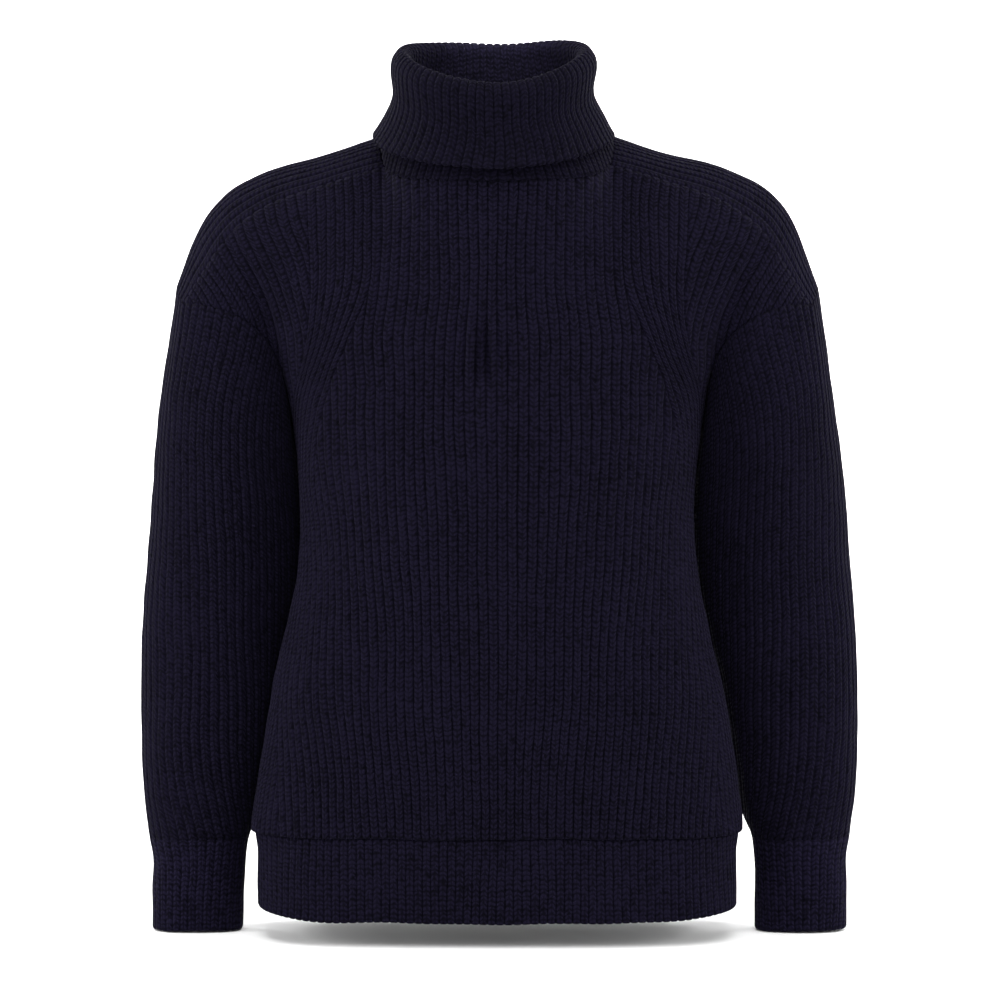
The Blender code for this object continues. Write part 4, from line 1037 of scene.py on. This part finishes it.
def wool(name, stitches, light, groove_shade, stitch_height):
    """Matt navy wool: near black in the grooves by painted shade, lighter on the yarn, with a low
    sheen.  The factor light is a painted level of light for each part, and groove_shade the
    painted shade in its grooves.
    """
    material, shader = matt(name, WOOL_FINISH)
    tree = material.node_tree
    uv, place, knit, ramp, bump = (
        tree.nodes.new("ShaderNode" + kind)
        for kind in ("UVMap", "TexCoord", "Group", "ValToRGB", "Bump")
    )
    uv.uv_map = "knit"
    knit.node_tree = stitches
    knit.inputs["Shade"].default_value = groove_shade
    # The ramp runs from painted shade to the yarn's colour, raised or lowered by this part's
    # painted light level.
    ramp.color_ramp.elements[0].color = (*DARK_AND_PAINTED_SHADE, 1)
    ramp.color_ramp.elements[1].color = (*(light * np.array(LIGHT)), 1)
    bump.inputs["Strength"].default_value = BUMP_STRENGTH
    bump.inputs["Distance"].default_value = stitch_height
    for source, output, target, socket in (
        (uv, "UV", knit, "UV"),
        (place, "Object", knit, "Place"),
        (knit, "Tone", ramp, "Fac"),
        (ramp, "Color", shader, "Base Color"),
        (knit, "Height", bump, "Height"),
        (bump, "Normal", shader, "Normal"),
    ):
        link(tree, source.outputs[output], target.inputs[socket])
    return material


# --- studio
PHOTO_WIDTH, FOCAL_PIXELS = 1008, 4390
ELEVATION, DISTANCE = math.radians(3.0), 3.6
AIM = np.array([0.0053, 0.0, -0.294])
FLOOR_Z = CUFF_BOTTOM_Z - 0.0015
ROOM_LIGHT, SEEN_WHITE = 0.45, 1.0  # what the room gives as light, and what is seen of it


def camera():
    """The photograph's view: level with the garment's middle, from a little above it."""
    data = bpy.data.cameras.new("camera")
    data.sensor_width = 36
    data.lens = FOCAL_PIXELS / PHOTO_WIDTH * data.sensor_width
    data.clip_end = 60
    eye = placed("camera", data)
    back = np.array([0, -math.cos(ELEVATION), math.sin(ELEVATION)])
    eye.location = AIM + back * DISTANCE
    eye.rotation_euler = (math.pi / 2 - ELEVATION, 0, 0)
    bpy.context.scene.camera = eye


def floor():
    """A pale sheet, flat under the garment, that sweeps up behind it in a quarter circle."""
    half, near, reach, bend, top = 6.0, -5.0, 3.0, 1.6, 6.0
    turn = np.linspace(0, math.pi / 2, 24)
    ahead = np.hstack([[near], reach + bend * np.sin(turn), [reach + bend]])
    up = FLOOR_Z + np.hstack([[0.0], bend * (1 - np.cos(turn)), [top]])
    edges = [xyz(x, ahead, up) for x in (-half, half)]
    index = np.arange(len(up) * 2).reshape(-1, 2)
    quads = np.hstack([index[:-1], index[1:, ::-1]])
    mesh = bpy.data.meshes.new("floor")
    mesh.from_pydata(np.stack(edges, axis=1).reshape(-1, 3).tolist(), [], quads.tolist())
    mesh.shade_smooth()
    mesh.materials.append(matt("pale_paper", PAPER_FINISH)[0])
    placed("floor", mesh)


def lamp(name, kind, place, aim, power, **settings):
    """A lamp at a place, turned towards a point, with what else is set on its kind."""
    data = bpy.data.lights.new(name, kind)
    for setting, value in dict(settings, energy=power).items():
        setattr(data, setting, value)
    piece = placed(name, data)
    piece.location = place
    way = unit(np.array(aim, float) - np.array(place, float))
    piece.rotation_euler = (math.acos(-way[2]), 0, math.atan2(-way[0], way[1]))


def studio():
    """Dim white surroundings, large soft lamps at both sides, above and in front, two that light
    the backdrop, and a small one that reaches down into the neck."""
    world = bpy.data.worlds.new("white_room")
    world.use_nodes = True
    tree = world.node_tree
    room = tree.nodes["Background"]
    room.inputs["Color"].default_value = (1, 1, 1, 1)
    seen = tree.nodes.new("ShaderNodeLightPath").outputs["Is Camera Ray"]
    strength = maths(tree, "MULTIPLY_ADD", seen, SEEN_WHITE - ROOM_LIGHT, ROOM_LIGHT)
    link(tree, strength, room.inputs["Strength"])
    bpy.context.scene.world = world
    middle = (0, 0, -0.3)
    lamp("lamp_left", "AREA", (-3.0, -1.1, 0.3), middle, 105, size=2.0)
    lamp("lamp_right", "AREA", (3.0, -1.1, 0.3), middle, 90, size=2.0)
    lamp("lamp_top", "AREA", (0.0, -0.8, 3.0), middle, 105, size=3.0)
    lamp("lamp_front", "AREA", (0.0, -2.8, 2.3), middle, 60, size=1.6)
    lamp("backdrop_left", "AREA", (-2.6, 2.0, 1.6), (0.6, 4.6, 0.6), 220, size=1.5)
    lamp("backdrop_right", "AREA", (2.6, 2.0, 1.6), (-0.6, 4.6, 0.6), 220, size=1.5)
    lamp("lamp_neck", "SPOT", (0.0, -1.05, 0.97), (0.0, 0.035, 0.074), 330,
         spot_size=math.radians(6.0), spot_blend=1.0, shadow_soft_size=0.04)
    bpy.context.scene.view_settings.view_transform = "Standard"


# --- the garment
def sewn_in(piece, finish, node):
    """Gives a piece its wool, hangs it on the root body and hides the part of model.glb that it
    stands for."""
    piece.data.materials.append(finish)
    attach(piece, "root")
    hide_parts(node)


camera()
floor()
studio()

stitches = stitch_group()
# Lit and shaded copies of one yarn: the third number is each part's painted light level, the
# fourth its painted groove shade.
body_wool = wool("body_wool", stitches, 0.83, 0.30, 0.0010)
sleeve_wool = wool("sleeve_wool", stitches, 0.78, 0.14, 0.0009)
collar_wool = wool("collar_wool", stitches, 0.62, 0.08, 0.0009)
hem_wool = wool("hem_wool", stitches, 0.84, 0.25, 0.0008)
cuff_wool = wool("cuff_wool", stitches, 1.08, 0.20, 0.0008)

sewn_in(body_panel("front_knit", FRONT), body_wool, "front")
sewn_in(body_panel("back_knit", BACK), body_wool, "back")
sewn_in(collar("collar_knit"), collar_wool, "collar")
sewn_in(hem("hem_knit"), hem_wool, "hem_rib")
for hand, word in ((1, "left"), (-1, "right")):
    sewn_in(saddle("strap_knit_" + word, hand), body_wool, "saddle_" + word)
    sewn_in(sleeve("sleeve_knit_" + word, hand), sleeve_wool, "sleeve_" + word)
    sewn_in(cuff("cuff_knit_" + word, hand), cuff_wool, "cuff_" + word)
